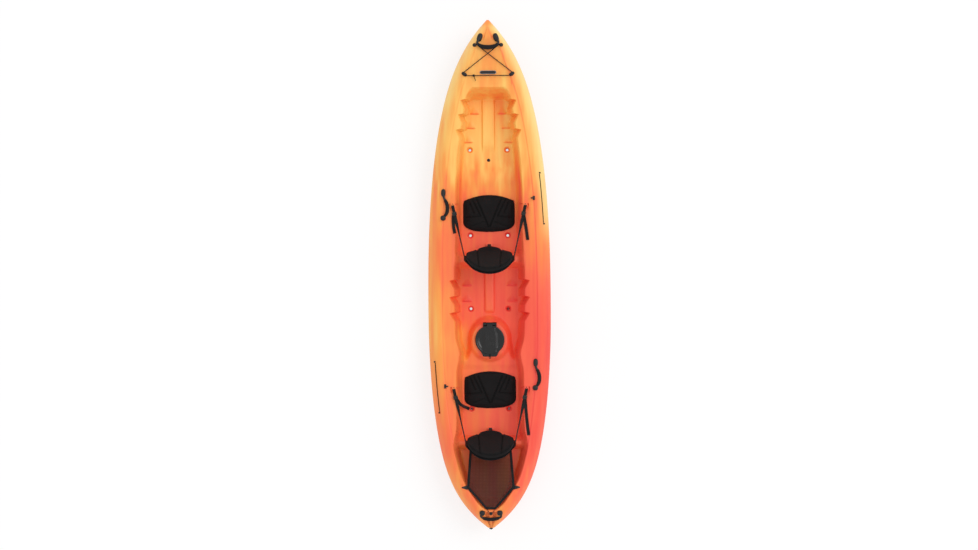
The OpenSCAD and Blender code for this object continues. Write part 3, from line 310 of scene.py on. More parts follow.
# Materials
def srgb(r, g, b):
    return (*[(c / 255 / 12.92 if c <= 10 else ((c / 255 + 0.055) / 1.055) ** 2.4) for c in (r, g, b)], 1)


def blankMaterial(name):
    mat = bpy.data.materials.new(name)
    mat.use_nodes = True
    tree = mat.node_tree
    tree.nodes.clear()
    return mat, tree, tree.nodes.new("ShaderNodeOutputMaterial").inputs["Surface"]


def newMaterial(name):
    mat, tree, out = blankMaterial(name)
    bsdf = tree.nodes.new("ShaderNodeBsdfPrincipled")
    tree.links.new(bsdf.outputs[0], out)
    return mat, tree, bsdf, add(tree, "ShaderNodeTexCoord").outputs["Object"]


def put(tree, node, looks):
    for k, v in looks.items():
        if isinstance(v, bpy.types.NodeSocket):
            tree.links.new(v, node.inputs[k])
        else:
            node.inputs[k].default_value = v


def add(tree, kind, inputs={}, **props):
    n = tree.nodes.new(kind)
    for k, v in props.items():
        setattr(n, k, v)
    put(tree, n, inputs)
    return n


def calc(tree, op, a, b=0.0, c=0.0, clampIt=False):
    return add(tree, "ShaderNodeMath", {0: a, 1: b, 2: c}, operation=op, use_clamp=clampIt).outputs[0]


def scaled(tree, a, b, c, clampIt=False):
    return calc(tree, "MULTIPLY_ADD", a, b, c, clampIt)


def ramp(tree, fac, stops):
    n = add(tree, "ShaderNodeValToRGB", {"Fac": fac})
    els = n.color_ramp.elements
    while len(els) < len(stops):
        els.new(0.5)
    for e, (pos, col) in zip(els, stops):
        e.position = pos
        e.color = col
    return n.outputs["Color"]


def noise(tree, coord, scale, detail, rough, stretch=(1, 1, 1)):
    at = add(tree, "ShaderNodeMapping", {"Vector": coord, "Scale": stretch}).outputs[0]
    looks = {"Vector": at, "Scale": scale, "Detail": detail, "Roughness": rough}
    return add(tree, "ShaderNodeTexNoise", looks).outputs["Fac"]


def bump(tree, height, strength, distance):
    looks = {"Height": height, "Strength": strength, "Distance": distance}
    return add(tree, "ShaderNodeBump", looks).outputs["Normal"]


def stored(tree, name):
    return add(tree, "ShaderNodeAttribute", attribute_name=name).outputs["Fac"]


# Marbled sheet plastic: yellow to coral along and across the boat, drawn into streaks, with painted shade, painted
# light and a painted highlight taken from the deck's stored attributes
hullLook = {
    "base": [(0, 0.46), (0.06, 0.56), (0.16, 0.74), (0.22, 0.72), (0.28, 0.67), (0.36, 0.63), (0.44, 0.62),
             (0.5, 0.6), (0.56, 0.49), (0.6, 0.42), (0.64, 0.36), (0.7, 0.34), (0.74, 0.28), (0.8, 0.25),
             (0.9, 0.32), (1, 0.38)],
    "lean": [(0, 0.06), (0.15, 0.1), (0.28, 0.2), (0.36, 0.3), (0.44, 0.22), (0.52, 0.08), (0.58, -0.04),
             (0.66, -0.08), (0.72, 0), (0.8, 0.1), (0.9, 0.14), (1, 0.08)],
    "middle": [(0, 0.5), (0.2, 0.54), (0.36, 0.6), (0.44, 0.66), (0.52, 0.76), (0.58, 0.82), (0.63, 0.72),
               (0.68, 0.58), (0.72, 0.46), (0.76, 0.36), (0.8, 0.42), (0.88, 0.52), (1, 0.5)],
    "patch": [(0, 0.1), (0.6, 0.12), (0.66, 0.5), (0.7, 0.62), (0.73, 0.4), (0.76, 0.12), (1, 0.16)]}
hullColours = [(0, srgb(255, 214, 120)), (0.18, srgb(255, 196, 102)), (0.38, srgb(254, 163, 77)),
               (0.58, srgb(253, 130, 70)), (0.78, srgb(252, 102, 72)), (1, srgb(242, 76, 64))]
# The pale colour, and the edge and pale strengths below, paint a highlight along the outer edges; wall sets the
# strength of the painted shade
hullHighlight = srgb(255, 226, 160)
hullMix = {"length": 3.66, "half": 0.42, "tongues": 0.55, "streak": 0.5, "fine": 0.16, "cloud": 0.2,
           "wall": 0.26, "edge": -0.25, "pale": 0.45}


def hullMaterial():
    mat, t, bsdf, co = newMaterial("marbledPlastic")
    x, y, _ = add(t, "ShaderNodeSeparateXYZ", {0: co}).outputs
    streak = noise(t, co, 1.0, 4, 0.5, (11, 1.0, 11))
    fine = noise(t, co, 1.0, 3, 0.5, (34, 2.0, 34))
    cloud = noise(t, co, 2.2, 3, 0.5)
    drawn = noise(t, co, 1.0, 2, 0.5, (17, 2.4, 17))
    y = calc(t, "ADD", y, scaled(t, streak, hullMix["tongues"], -hullMix["tongues"] / 2))
    lengthAt = scaled(t, y, 1 / hullMix["length"], 0.5)
    at = {k: ramp(t, lengthAt, [(p, (v, v, v, 1)) for p, v in stops]) for k, stops in hullLook.items()}
    side = calc(t, "MULTIPLY", x, 1 / hullMix["half"])
    inside = calc(t, "SUBTRACT", 1.0, calc(t, "SMOOTH_MAX", calc(t, "ABSOLUTE", side), 0.35, 0.3))
    tone = scaled(t, scaled(t, at["middle"], 1.6, -0.8), inside, at["base"])
    tone = scaled(t, at["lean"], side, tone)
    for part, size in ((streak, hullMix["streak"]), (fine, hullMix["fine"]), (cloud, hullMix["cloud"])):
        tone = calc(t, "ADD", tone, scaled(t, part, size, -size / 2))
    tone = scaled(t, scaled(t, drawn, 2.0, -1.0), at["patch"], tone, True)
    # Painted highlight along the outer edges, and painted shade and light on walls, lines and scuppers, from stored
    # attributes
    edge = stored(t, "edgeHighlight")
    tone = scaled(t, stored(t, "paintedShading"), hullMix["wall"], tone)
    tone = scaled(t, edge, hullMix["edge"], tone, True)
    paled = {"Factor": calc(t, "MULTIPLY", edge, hullMix["pale"]), "A": ramp(t, tone, hullColours), "B": hullHighlight}
    peel = noise(t, co, 420, 3, 0.5)
    scuff = noise(t, co, 26, 8, 0.7)
    put(t, bsdf, {"Base Color": add(t, "ShaderNodeMix", paled, data_type="RGBA").outputs["Result"],
                  "Roughness": scaled(t, scuff, 0.22, 0.33), "Specular IOR Level": 0.35,
                  "Normal": bump(t, scaled(t, scuff, 0.4, peel), 0.16, 0.0006)})
    return mat


def blackMaterial(name, level, rough, grain, size, spec=0.4):
    mat, t, bsdf, co = newMaterial(name)
    wear = noise(t, co, 60, 6, 0.65)
    shades = [(0.25, srgb(*[level - 8] * 3)), (0.6, srgb(level, level - 1, level)), (0.85, srgb(*[level + 14] * 3))]
    put(t, bsdf, {"Base Color": ramp(t, wear, shades), "Roughness": scaled(t, wear, 0.2, rough - 0.1),
                  "Normal": bump(t, noise(t, co, size, 2, 0.5), grain, 0.0004), "Specular IOR Level": spec})
    return mat


def steelMaterial():
    mat, t, bsdf, co = newMaterial("stainlessSteel")
    brush = noise(t, co, 900, 3, 0.6, (1, 0.06, 1))
    put(t, bsdf, {"Base Color": ramp(t, brush, [(0.3, srgb(150, 150, 152)), (0.7, srgb(196, 196, 198))]),
                  "Roughness": scaled(t, brush, 0.25, 0.2), "Metallic": 1.0})
    return mat


# Fabric: a fine plain weave from two crossed waves, with faded patches and painted shade in the pressed channels
def weave(t, co, pitch, axes=("X", "Y")):
    looks = {"Vector": co, "Scale": 1 / pitch / 20, "Distortion": 0.25, "Detail": 1.0}
    return calc(t, "MULTIPLY", *[add(t, "ShaderNodeTexWave", looks, wave_type="BANDS",
                                     bands_direction=axis).outputs["Fac"] for axis in axes])


def fabricMaterial(name, dark, light, pitch, axes=("X", "Y"), sheen=0.1):
    mat, t, bsdf, co = newMaterial(name)
    threads = weave(t, co, pitch, axes)
    tone = scaled(t, threads, 0.45, calc(t, "MULTIPLY", noise(t, co, 14, 5, 0.6), 0.6))
    # Painted shade: darker in the pressed channels and rim band, from the stored seam mask
    tone = scaled(t, stored(t, "seam"), -0.8, tone)
    shades = [(0.0, srgb(3, 3, 3)), (0.15, srgb(*dark)), (0.85, srgb(*light))]
    put(t, bsdf, {"Base Color": ramp(t, tone, shades), "Roughness": 0.85, "Sheen Weight": sheen,
                  "Sheen Roughness": 0.45, "Specular IOR Level": 0.25, "Normal": bump(t, threads, 0.35, 0.0005)})
    return mat


def meshMaterial():
    mat, t, bsdf, co = newMaterial("netMesh")
    holes = weave(t, co, 0.0016)
    dust = ramp(t, noise(t, co, 30, 4, 0.6), [(0.3, srgb(34, 9, 7)), (0.75, srgb(54, 18, 13))])
    put(t, bsdf, {"Base Color": dust, "Roughness": 0.8, "Normal": bump(t, holes, 0.3, 0.0004),
                  "Alpha": scaled(t, calc(t, "SUBTRACT", 1.0, holes), 0.2, 0.6)})
    return mat


def floorMaterial():
    mat, t, out = blankMaterial("paleFloor")
    paper = add(t, "ShaderNodeBsdfDiffuse", {"Color": (0.95, 0.95, 0.95, 1)})
    glow = add(t, "ShaderNodeEmission", {"Color": (1, 1, 1, 1), "Strength": 1.02})
    ray = add(t, "ShaderNodeLightPath").outputs
    seen = calc(t, "MAXIMUM", ray["Is Glossy Ray"], ray["Is Transmission Ray"])
    seen = calc(t, "MULTIPLY", calc(t, "MAXIMUM", ray["Is Camera Ray"], seen), 0.72)
    shown = add(t, "ShaderNodeMixShader", {0: seen, 1: paper.outputs[0], 2: glow.outputs[0]})
    t.links.new(shown.outputs[0], out)
    return mat


mats = {"hull": hullMaterial(),
        "black": blackMaterial("mouldedBlack", 27, 0.46, 0.35, 700),
        "gloss": blackMaterial("glossBlack", 15, 0.26, 0.15, 900, 0.46),
        "rubber": blackMaterial("gripRubber", 23, 0.7, 0.5, 500, 0.25),
        "plate": blackMaterial("satinPlate", 32, 0.5, 0.25, 1200),
        "rim": blackMaterial("plateRim", 176, 0.5, 0.2, 1000),
        "steel": steelMaterial(),
        "bungee": fabricMaterial("braidedCord", (12, 12, 12), (46, 44, 44), 0.0022, ("X", "DIAGONAL")),
        "webbing": fabricMaterial("webbing", (10, 10, 11), (40, 39, 40), 0.0018),
        "pad": fabricMaterial("padFabric", (7, 6, 7), (25, 23, 24), 0.0014, sheen=0.03),
        "screw": blackMaterial("darkScrew", 62, 0.42, 0.1, 900, 0.5),
        "mesh": meshMaterial(), "floor": floorMaterial()}
floorHalf = 15000


def layFloor():
    corners = [(x * floorHalf, y * floorHalf, 0) for x, y in ((-1, -1), (1, -1), (1, 1), (-1, 1))]
    floor = makeObject("floor", corners, [(0, 1, 2, 3)])
    paint(floor, "floor")


layFloor()
print("stage: materials and floor")


# Hull form, the same rules as the construction model, in millimetres
boat = {"bowY": 1829.0, "sternY": -1815.0, "beam": 882.0, "beamY": -215.0, "bowTip": 14.0, "transom": 40.0,
        "wall": 4.0, "flange": 12.0, "seam": 165.0, "seamBow": 90.0, "seamStern": 70.0, "crest": 98.0,
        "crestIn": 100.0, "rockerBow": 190.0, "rockerStern": 150.0, "rockerFrom": 600.0, "keelW": 60.0,
        "runnerX": 232.0, "runnerW": 36.0, "ease": 14.0, "channel": 7.0}
bowY, sternY, beamY, wallThick = boat["bowY"], boat["sternY"], boat["beamY"], boat["wall"]
fy, ry, hatchY = 445.0, -828.0, -467.0
footZ, seatZ, lipZ, ridgeZ, tankZ, consoleZ = 95.0, 118.0, 130.0, 200.0, 140.0, 176.0
wallRun, notchDepth, notchLen, notchFace, ribH = 50.0, 40.0, 68.0, 9.0, 18.0
scupperX, scupperR, funnelR, funnelH, scupperRake = 135.0, 13.0, 22.0, 12.0, 24.0
scupperYs = [fy + 460, fy - 159, ry + 584, ry - 137]
rakedScuppers = [(1, ry + 584), (-1, ry - 137), (1, ry - 137)]
notchYs = [fy + 816, fy + 713, fy + 604, ry + 797, ry + 678, ry + 563]
wellPlan = [(ry - 872, 40), (ry - 829, 60), (ry - 645, 180), (ry - 522, 220), (ry - 432, 240), (ry - 388, 252),
            (ry - 354, 246), (ry - 312, 224), (ry - 212, 219), (ry + 128, 222), (ry + 183, 214), (ry + 262, 190),
            (ry + 362, 226), (ry + 563, 232), (fy - 385, 232), (fy - 305, 226), (fy - 145, 219), (fy + 200, 218),
            (fy + 380, 206), (fy + 559, 184), (fy + 817, 142), (fy + 904, 124), (fy + 1055, 110)]
floorPlan = [(ry - 880, tankZ + 8), (ry - 434, tankZ), (ry - 388, ridgeZ), (ry - 367, ridgeZ), (ry - 322, seatZ),
             (ry + 142, seatZ), (ry + 205, lipZ + 4), (ry + 264, footZ), (fy - 400, footZ), (fy - 345, ridgeZ),
             (fy - 316, ridgeZ), (fy - 272, seatZ), (fy + 180, seatZ), (fy + 255, lipZ - 5), (fy + 400, footZ),
             (bowY, footZ)]
consolePlan = [(ry + 110, 250), (ry + 176, 206), (ry + 224, 172), (ry + 288, 148), (hatchY, 137), (hatchY + 60, 132)]
consoleTop, consoleFoot, footFore, footAft, flareTop = 122.0, 160.0, 23.0, 8.0, 148


def bowT(y):
    return clamp((y - beamY) / (bowY - beamY))


def sternT(y):
    return clamp((beamY - y) / (beamY - sternY))


def halfBeam(y):
    fore, aft = bowT(y), sternT(y)
    return where(y > beamY, mix(boat["beam"], boat["bowTip"], 0.62 * fore ** 2.5 + 0.38 * fore ** 8),
                 mix(boat["beam"], boat["transom"], 0.5 * aft ** 2.3 + 0.5 * aft ** 8)) / 2


def seamZ(y):
    return boat["seam"] + boat["seamBow"] * bowT(y) ** 2 + boat["seamStern"] * sternT(y) ** 2


def crestRun(y):
    return minimum(boat["crestIn"], 0.5 * halfBeam(y))


def baseZ(x, y):
    fade = 1 - maximum(bowT(y), sternT(y)) ** 24
    d, r = halfBeam(y) - abs(x), crestRun(y)
    crown = boat["crest"] * fade * (1 - (1 - clamp(d / r)) ** 2)
    return seamZ(y) + wallThick + crown - 0.04 * maximum(0, d - r)


def notch(y):
    best = np.zeros_like(y)
    for k in notchYs:
        t = (k - y) / notchLen
        step = notchDepth * minimum((k - y) / notchFace, 1) * (1 - t)
        best = maximum(best, where((t < 0) | (t > 1), 0, step))
    return best


def wellHalf(y):
    return notch(y) + (along(y - 40, wellPlan) + 2 * along(y, wellPlan) + along(y + 40, wellPlan)) / 4


def consoleMask(x, y):
    r = maximum(1, hypot(x, y - hatchY))
    lead = (y - hatchY) / r
    foot = consoleFoot + footFore * maximum(lead, 0) ** 2 + footAft * minimum(lead, 0) ** 2
    return smooth((foot - r) / (foot - consoleTop))


def flareMask(x, y):
    return fall(abs(x), along(y, consolePlan) + 24, 48) * span(y, ry + 140, 75, hatchY + 45, 90)


def rib(x, y):
    ax = abs(x)
    return ribH * (fall(ax, 50, 12) * span(y, fy + 423, 80, fy + 845, 40)
                   + fall(ax, 38, 12) * span(y, ry + 548, 30, fy - 375, 30))


def floorZ(x, y):
    f = eased(y, floorPlan)
    raised = maximum(f, mix(lipZ + 4, flareTop, rise(y, ry + 176, 110)))
    return rib(x, y) + mix(mix(f, raised, flareMask(x, y)), consoleZ, consoleMask(x, y))


def wellMask(x, y):
    u = clamp((wellHalf(y) + wallRun / 2 - abs(x)) / wallRun)
    v = minimum(clamp((fy + 904 - y) / 92), clamp((y - ry + 862) / 90))
    return smooth(1 - hypot(1 - u, 1 - v))


def plainDeck(x, y):
    return mix(baseZ(x, y), floorZ(x, y), wellMask(x, y))


# Moulded detail that only shows: heel wedges, strap pockets, gunwale crease, foredeck panel, bow ridge
detail = {"heels": [(1165, 100), (1062, 128), (960, 145), (-76, 160), (-188, 163)], "heelH": 10.0, "heelLen": 58.0,
          "heelHalf": 36.0, "pocketYs": (514.0, -801.0), "pocketD": 20.0, "creaseD": 2.6, "creaseW": 6.0,
          "panel": [(1345, 175), (1437, 158), (1499, 130), (1614, 92), (1690, 46)], "panelD": 3.2,
          "ridge": [(1640, 50), (1788, 3)], "ridgeH": 8.0}


def heels(x, y):
    ax, z = abs(x), 0 * (x + y)
    for k, middle in detail["heels"]:
        t = clamp((k + detail["heelLen"] - y) / detail["heelLen"])
        step = rise(y, k - 5, 5) * fall(abs(ax - middle), detail["heelHalf"] * t + 8, 26)
        z = maximum(z, detail["heelH"] * t * step)
    return z


# Pocket in the crest where each seat strap comes out
def pockets(x, y):
    z = 0 * (x + y)
    for k in detail["pocketYs"]:
        z = maximum(z, fall(y, k, 5) * clamp((y - k + 62) / 54) * span(abs(x), 196, 20, 284, 10))
    return detail["pocketD"] * z


def deckZ(x, y):
    ax, mask = abs(x), wellMask(x, y)
    gap = abs(halfBeam(y) - ax - crestRun(y))
    crease = detail["creaseD"] * maximum(0, 1 - gap / detail["creaseW"]) * span(y, -1330, 60, 1420, 60)
    panel = detail["panelD"] * fall(ax, along(y, detail["panel"]), 6) * span(y, 1352, 12, 1690, 30)
    ridge = detail["ridgeH"] * fall(ax, along(y, detail["ridge"]), 9) * span(y, 1672, 40, 1800, 20)
    return (plainDeck(x, y) + heels(x, y) * mask - (crease + panel) * (1 - mask)
            - pockets(x, y) * fall(mask, 0.6, 0.4) + ridge)


def keelZ(y):
    start = boat["rockerFrom"]
    return (boat["rockerBow"] * clamp((y - start) / (bowY - start)) ** 5
            + boat["rockerStern"] * clamp((-start - y) / (-sternY - start)) ** 5)


def plainBottom(x, y):
    u, k = minimum(1, abs(x) / halfBeam(y)), keelZ(y) + boat["channel"]
    return k + (seamZ(y) - wallThick - k) * u ** 5


def bottomZ(x, y):
    b, ax, ease = halfBeam(y), abs(x), boat["ease"]
    keel = fall(ax, boat["keelW"] / 2 + ease, ease) * rise(b, 60, 60)
    runner = fall(abs(ax - boat["runnerX"]), boat["runnerW"] / 2 + ease, ease) * rise(b, boat["runnerX"] + 90, 40)
    return mix(plainBottom(x, y), keelZ(y), maximum(keel, runner))


def stationLines():
    ys = [*np.arange(sternY, bowY, 10.0), sternY + 4, bowY - 4, bowY, *np.arange(hatchY - 180, hatchY + 190, 6.0),
          *(sternY + np.arange(0, 80, 3.0)), *(bowY - np.arange(0, 60, 3.0)), *[p for p, _ in floorPlan[1:-1]]]
    ys += [k + d for k in notchYs for d in (0, -3.5, -7, -10.5, -14, -18, 3)]
    ys += [k + d for k, _ in detail["heels"] for d in (1, -1, -2.5, -4, -6)]
    ys += [k + d for k in detail["pocketYs"] for d in (0, -1.5, -3, -5, -7)]
    out = []
    for y in sorted(ys):
        if not out or y - out[-1] > 0.9:
            out.append(y)
    out[-1] = bowY
    return array(out)


def spread(stops, counts):
    parts = [linspace(a, b, n, endpoint=False) for a, b, n in zip(stops[:-1], stops[1:], counts)]
    half = np.concatenate(parts + [[stops[-1]]])
    return np.concatenate([-half[:0:-1], half])


def gridFaces(m, n, base=0):
    starts = [base + i * n + j for i in range(m - 1) for j in range(n - 1)]
    return [(a, a + 1, a + n + 1, a + n) for a in starts]


# Two grids with the same rows but their own columns, closed at rims and ends
def sheetBetween(top, low):
    m, n, k = len(top), len(top[0]), len(low[0])
    base = m * n
    faces = gridFaces(m, n) + [(a, d, c, b) for a, b, c, d in gridFaces(m, k, base)]
    faces += [(i * n, i * n + n, base + i * k + k, base + i * k) for i in range(m - 1)]
    faces += [(i * n + n - 1, base + i * k + k - 1, base + i * k + 2 * k - 1, i * n + 2 * n - 1) for i in range(m - 1)]
    faces.append((*range(base, base + k), *range(n - 1, -1, -1)))
    last, lastLow = (m - 1) * n, base + (m - 1) * k
    faces.append((*range(last, last + n), *range(lastLow + k - 1, lastLow - 1, -1)))
    return np.vstack([np.asarray(top).reshape(-1, 3), np.asarray(low).reshape(-1, 3)]), faces


columnCounts = {"seen": [4, 6, 22, 12, 6, 3, 3, 9], "under": [1, 1, 3, 4, 1, 1, 1, 3],
                "bottom": [2, 5, 4, 5, 2, 5, 14], "inner": [4, 8]}


def deckColumns(y, kind):
    b, r, w, h = float(halfBeam(y)), float(crestRun(y)), float(wellHalf(y)), wallRun / 2
    k = min(1.0, max(b - r - 14, 0.8 * (b - r)) / (w + h + 8))
    e, wall = min(12.0, 0.2 * r), k * (w + h)
    stops = [0, 30 * k, 58 * k, k * (w - h), wall, max(b - r - e, wall + 0.5), b - r, b - r + e, b]
    return spread(stops, columnCounts[kind])


def hullColumns(y, kind):
    b = float(halfBeam(y))
    k, e, keel, h, x = min(1.0, b / 420), boat["ease"], boat["keelW"] / 2, boat["runnerW"] / 2, boat["runnerX"]
    lines = [k * v for v in (keel, keel + e, x - h - e, x - h, x + h, x + h + e)]
    return spread([0, *lines, b] if kind == "bottom" else [0, 0.6 * b, b], columnCounts[kind])


def slopes(form, x, y, e):
    return (form(x + e, y) - form(x - e, y)) / (2 * e), (form(x, y + e) - form(x, y - e)) / (2 * e)


def underDeck(x, y):
    wide = wellMask(x, y) > 0.97
    lowest = np.min([deckZ(x + k * wide, y) for k in range(-36, 37, 12)], axis=0)
    zx, zy = slopes(plainDeck, x, y, 4.0)
    return lowest - wallThick * minimum(6, sqrt(1 + zx ** 2 + zy ** 2))


def innerHull(x, y):
    zx = slopes(plainBottom, x, y, 4.0)[0]
    return minimum(seamZ(y), plainBottom(x, y) + wallThick * sqrt(1 + zx ** 2))


# Rows of a shell's side. The hidden side meets the seam along its rim and at both ends
def shellRows(columns, kind, form, hidden):
    rows = []
    for y in stationLines():
        x = columns(y, kind)
        yy = np.full_like(x, y)
        z = form(x, yy)
        if hidden:
            z = where((abs(x) > halfBeam(yy) - boat["flange"]) | (y in (sternY, bowY)), seamZ(yy), z)
        rows.append(stack([x, yy, z], 1))
    return rows


def boolean(obj, parts, kind):
    tool = makeObject("tool", *joined(parts))
    mod = obj.modifiers.new("cut", "BOOLEAN")
    mod.operation = kind
    mod.solver = "MANIFOLD"
    mod.object = tool
    baked(obj)
    bpy.data.objects.remove(tool)


# Seats of the fittings, from the construction model: place, radius, top
pairedSeats = [(55, 1707, 19, 328.63), (60, -1703, 19, 313.94), (95, 1643, 14, 332.83), (170, 1437, 14, 326.61),
               (260, 501, 17.5, 278.0), (260, -814, 17.5, 276.9), (194, -1520, 17.5, 313.64)]
singleSeats = [(-326, 412, 19, 282.81), (-326, 588, 19, 282.81), (326, -808, 19, 278.33), (326, -632, 19, 278.33),
               (0, -1707, 14, 310.55), (322, 550, 17.5, 281.40), (-322, -796, 17.5, 278.21)]
# Strength of each painted shade, right side then left side; the tank and console entries are taken away, painting
# light there
tint = {"wall": (0.45, 0.16), "line": (0.65, 0.25), "console": (0.15, 0.9), "tank": 0.5, "pocket": 0.4, "heel": 0.5,
        "scupper": 0.9, "leftEdge": 0.6}


# How near a place is to a moulded line: heel steps, gunwale crease, panel edge and bow ridge, for painting a shadow
# line along each
def shadowLines(x, y):
    ax, heel = abs(x), 0 * x
    for k, middle in detail["heels"]:
        heel = maximum(heel, fall(abs(y - k + 2), 7, 5) * fall(abs(ax - middle), detail["heelHalf"], 14))
    crease = clamp(1.4 - abs(halfBeam(y) - ax - crestRun(y)) / 4) * span(y, -1330, 60, 1420, 40)
    panel = clamp(1.4 - abs(along(y, detail["panel"]) - ax) / 5) * span(y, 1352, 20, 1640, 30)
    ridge = clamp(1.4 - abs(along(y, detail["ridge"]) - 4 - ax) / 6) * span(y, 1672, 20, 1790, 30)
    return heel, where(x > 0, *tint["line"]) * maximum(maximum(crease, panel), ridge)


# Painted shade: redder on steep walls, moulded lines, strap pockets and scupper funnels; painted light in the tankwell
# and next to the console; a painted highlight, paler, along the bow's edges
def paintDeckShading(deck):
    x, y, z = (places(deck) * 1000).T
    mask = wellMask(x, y)
    steep = smooth(hypot(*slopes(plainDeck, x, y, 3)) / 0.8)
    # Painted shade on steep well walls, more on the right side; painted light on the tankwell floor
    wall = where(x > 0, *tint["wall"]) * 4 * mask * (1 - mask) * steep - tint["tank"] * fall(y, -1190, 60) * mask
    # Painted light in the gutters next to the console, mostly on the left
    consoleGutterLight = span(y, -660, 80, -300, 120) * rise(abs(x), 140, 50) * smooth(mask * 2)
    wall = wall - where(x > 0, *tint["console"]) * consoleGutterLight
    heelShadowLine, deckShadowLine = shadowLines(x, y)
    # Painted shade in the strap pockets and painted shadow lines along the crease, panel edge and bow ridge
    wall = wall + (tint["pocket"] * pockets(x, y) / detail["pocketD"] + deckShadowLine) * (1 - mask)
    # Painted shadow line at each heel step, and redder over the heel wedges
    wall = wall + (heelShadowLine + tint["heel"] * heels(x, y) / detail["heelH"]) * mask
    # Painted shade inside the scupper funnels
    for k in scupperYs:
        near = hypot(abs(x) - scupperX, y - k) < funnelR + 3.5
        wall = where(near & (z < floorZ(x, y) - 0.4), tint["scupper"], wall)
    # Painted highlight: paler along the outer edges towards the bow, more on the right
    rim = clamp((abs(x) - halfBeam(y) + 80) / 70)
    edge = where(x > 0, rise(y, 180, 300), tint["leftEdge"] * rise(y, 1050, 250)) * fall(y, 1815, 60)
    mark(deck, "paintedShading", wall)
    mark(deck, "edgeHighlight", rim * edge)


def makeSeats():
    seats, a = [], np.arange(8) * 0.785
    for x, y, r, z in singleSeats + [(s * q[0], *q[1:]) for q in pairedSeats for s in (-1, 1)]:
        low = float(np.min(plainDeck(x + r * cos(a), y + r * sin(a)))) - 3
        profile = [(r + 0.8, low), (r + 0.8, max(low + 0.5, z - 1.2)), (r + 0.2, z - 0.3), (r - 0.8, z)]
        seats.append(lathe(profile, (x, y, 0), 40))
    rim = [(126, -2), (126, 1), (124.6, 2.6), (123, 3)]
    return seats + [lathe([(r, consoleZ + h) for r, h in rim], (0, hatchY, 0), 96)]


def makeBody():
    deck = makeObject("deckSkin", *sheetBetween(shellRows(deckColumns, "seen", deckZ, False),
                                                shellRows(deckColumns, "under", underDeck, True)))
    hull = makeObject("hullSkin", *sheetBetween(shellRows(hullColumns, "inner", innerHull, True),
                                                shellRows(hullColumns, "bottom", bottomZ, False)))
    boolean(deck, makeSeats(), "UNION")
    cuts, tubes, holes = [], [], []
    for y, s in [(y, s) for y in scupperYs for s in (-1, 1)]:
        fz, bz = float(floorZ(scupperX, y)), float(plainBottom(scupperX, y))
        neck, outer = fz - 2 * funnelH, scupperR + 4
        rake = scupperRake if (s, y) in rakedScuppers else 0.0
        bore = [(9.5, -20), (9.5, bz + 6), (10.1, neck), (scupperR - 1, fz - funnelH), (funnelR - 3, fz - 3.4),
                (funnelR, fz - 1.2), (funnelR + 3, fz + 0.2), (funnelR + 3, fz + 30)]
        cuts.append(lathe(bore, (s * scupperX, y, 0)))
        tubes.append(lathe([(outer, bz + 0.5), (outer, bz + 30), (funnelR + 4, fz - 2.4)], (s * scupperX, y, 0)))
        holes.append(lathe([(outer + 0.1, -20), (outer + 0.1, 100)], (s * scupperX, y - rake, 0)))
        for verts, _ in (cuts[-1], tubes[-1]):
            verts[:, 1] -= rake * clamp((neck - verts[:, 2]) / (neck - bz - 6))
    cuts.append(lathe([(80, consoleZ - 60), (80, consoleZ + 40)], (0, hatchY, 0), 96))
    holes.append(lathe([(11, sternY - 20), (11, sternY + 30)], (0, 0, 209), 48, "y"))
    boolean(deck, tubes, "UNION")
    boolean(deck, cuts, "DIFFERENCE")
    boolean(hull, holes, "DIFFERENCE")
    paintDeckShading(deck)
    settle(shade(deck, 32), "hull", "hull", "deck_shell")
    settle(shade(hull, 32), "hull", "hull", "hull_shell")


makeBody()
print("stage: deck and hull")


# Bow bungee: crossed cord over the posts, its knot and the free tail
bungee = {"posts": [(-95.14, 1643), (95.14, 1643), (169.96, 1437), (-169.96, 1437)], "lift": 8.0, "rise": 3.4,
          "bases": [332.8, 332.8, 326.61, 326.61], "radius": 3.0, "stem": 8.0, "gap": 0.4, "knotAt": 0.8,
          "coil": 6.1, "turns": 2.6, "tail": [(0, -6, 0), (4, -14, 0), (9, -26, -1), (12, -38, -2)]}


def postArc(i, fromDeg, toDeg, n=9):
    a = radians(linspace(fromDeg, toDeg, n))
    middle = array([*bungee["posts"][i], bungee["bases"][i] + bungee["lift"]])
    r = bungee["stem"] + bungee["radius"] + bungee["gap"]
    return middle + r * stack([cos(a), sin(a), np.zeros(n)], 1)


def crossing(a, b, top):
    half = [(0.15, 0), (0.3, 0.15), (0.42, 0.8), (0.5, 1)]
    steps = half + [(1 - t, h) for t, h in half[-2::-1]]
    return [mix(a, b, t) + array([0, 0, h * top]) for t, h in steps]


def makeBungee():
    r = [postArc(0, 202, 52), postArc(2, 52, -90), postArc(3, -90, -232), postArc(1, 128, -22)]
    back = [mix(r[1][-1], r[2][0], t) for t in (0.2, 0.5, bungee["knotAt"])]
    path = np.vstack([r[0], crossing(r[0][-1], r[1][0], -bungee["rise"]), r[1], back,
                      r[2], crossing(r[2][-1], r[3][0], bungee["rise"]), r[3]])
    settle(bar("bowBungee", tubeRings(curved(path, 3), bungee["radius"], 12)), "bungee", "hull", "bow_bungee")
    # A few turns of the cord round the rear run
    a, knot = linspace(0, 2 * pi * bungee["turns"], 60), back[-1]
    coil = knot + stack([linspace(-6, 6, 60), bungee["coil"] * cos(a), bungee["coil"] * sin(a)], 1)
    settle(bar("bungeeKnot", tubeRings(coil, 2.5, 10, (1, 0, 0))), "bungee", "hull", "bow_bungee_tail")
    points = curved(knot + array(bungee["tail"]), 5) * metre
    curve = bpy.data.curves.new("bungeeTail", "CURVE")
    curve.dimensions = "3D"
    curve.bevel_depth = 0.0026
    curve.bevel_resolution = 4
    curve.use_fill_caps = True
    line = curve.splines.new("POLY")
    line.points.add(len(points) - 1)
    for node, q in zip(line.points, points):
        node.co = (*q, 1)
    tail = linked("bungeeTail", curve)
    settle(tail, "bungee", "hull", "bow_bungee_tail")


makeBungee()


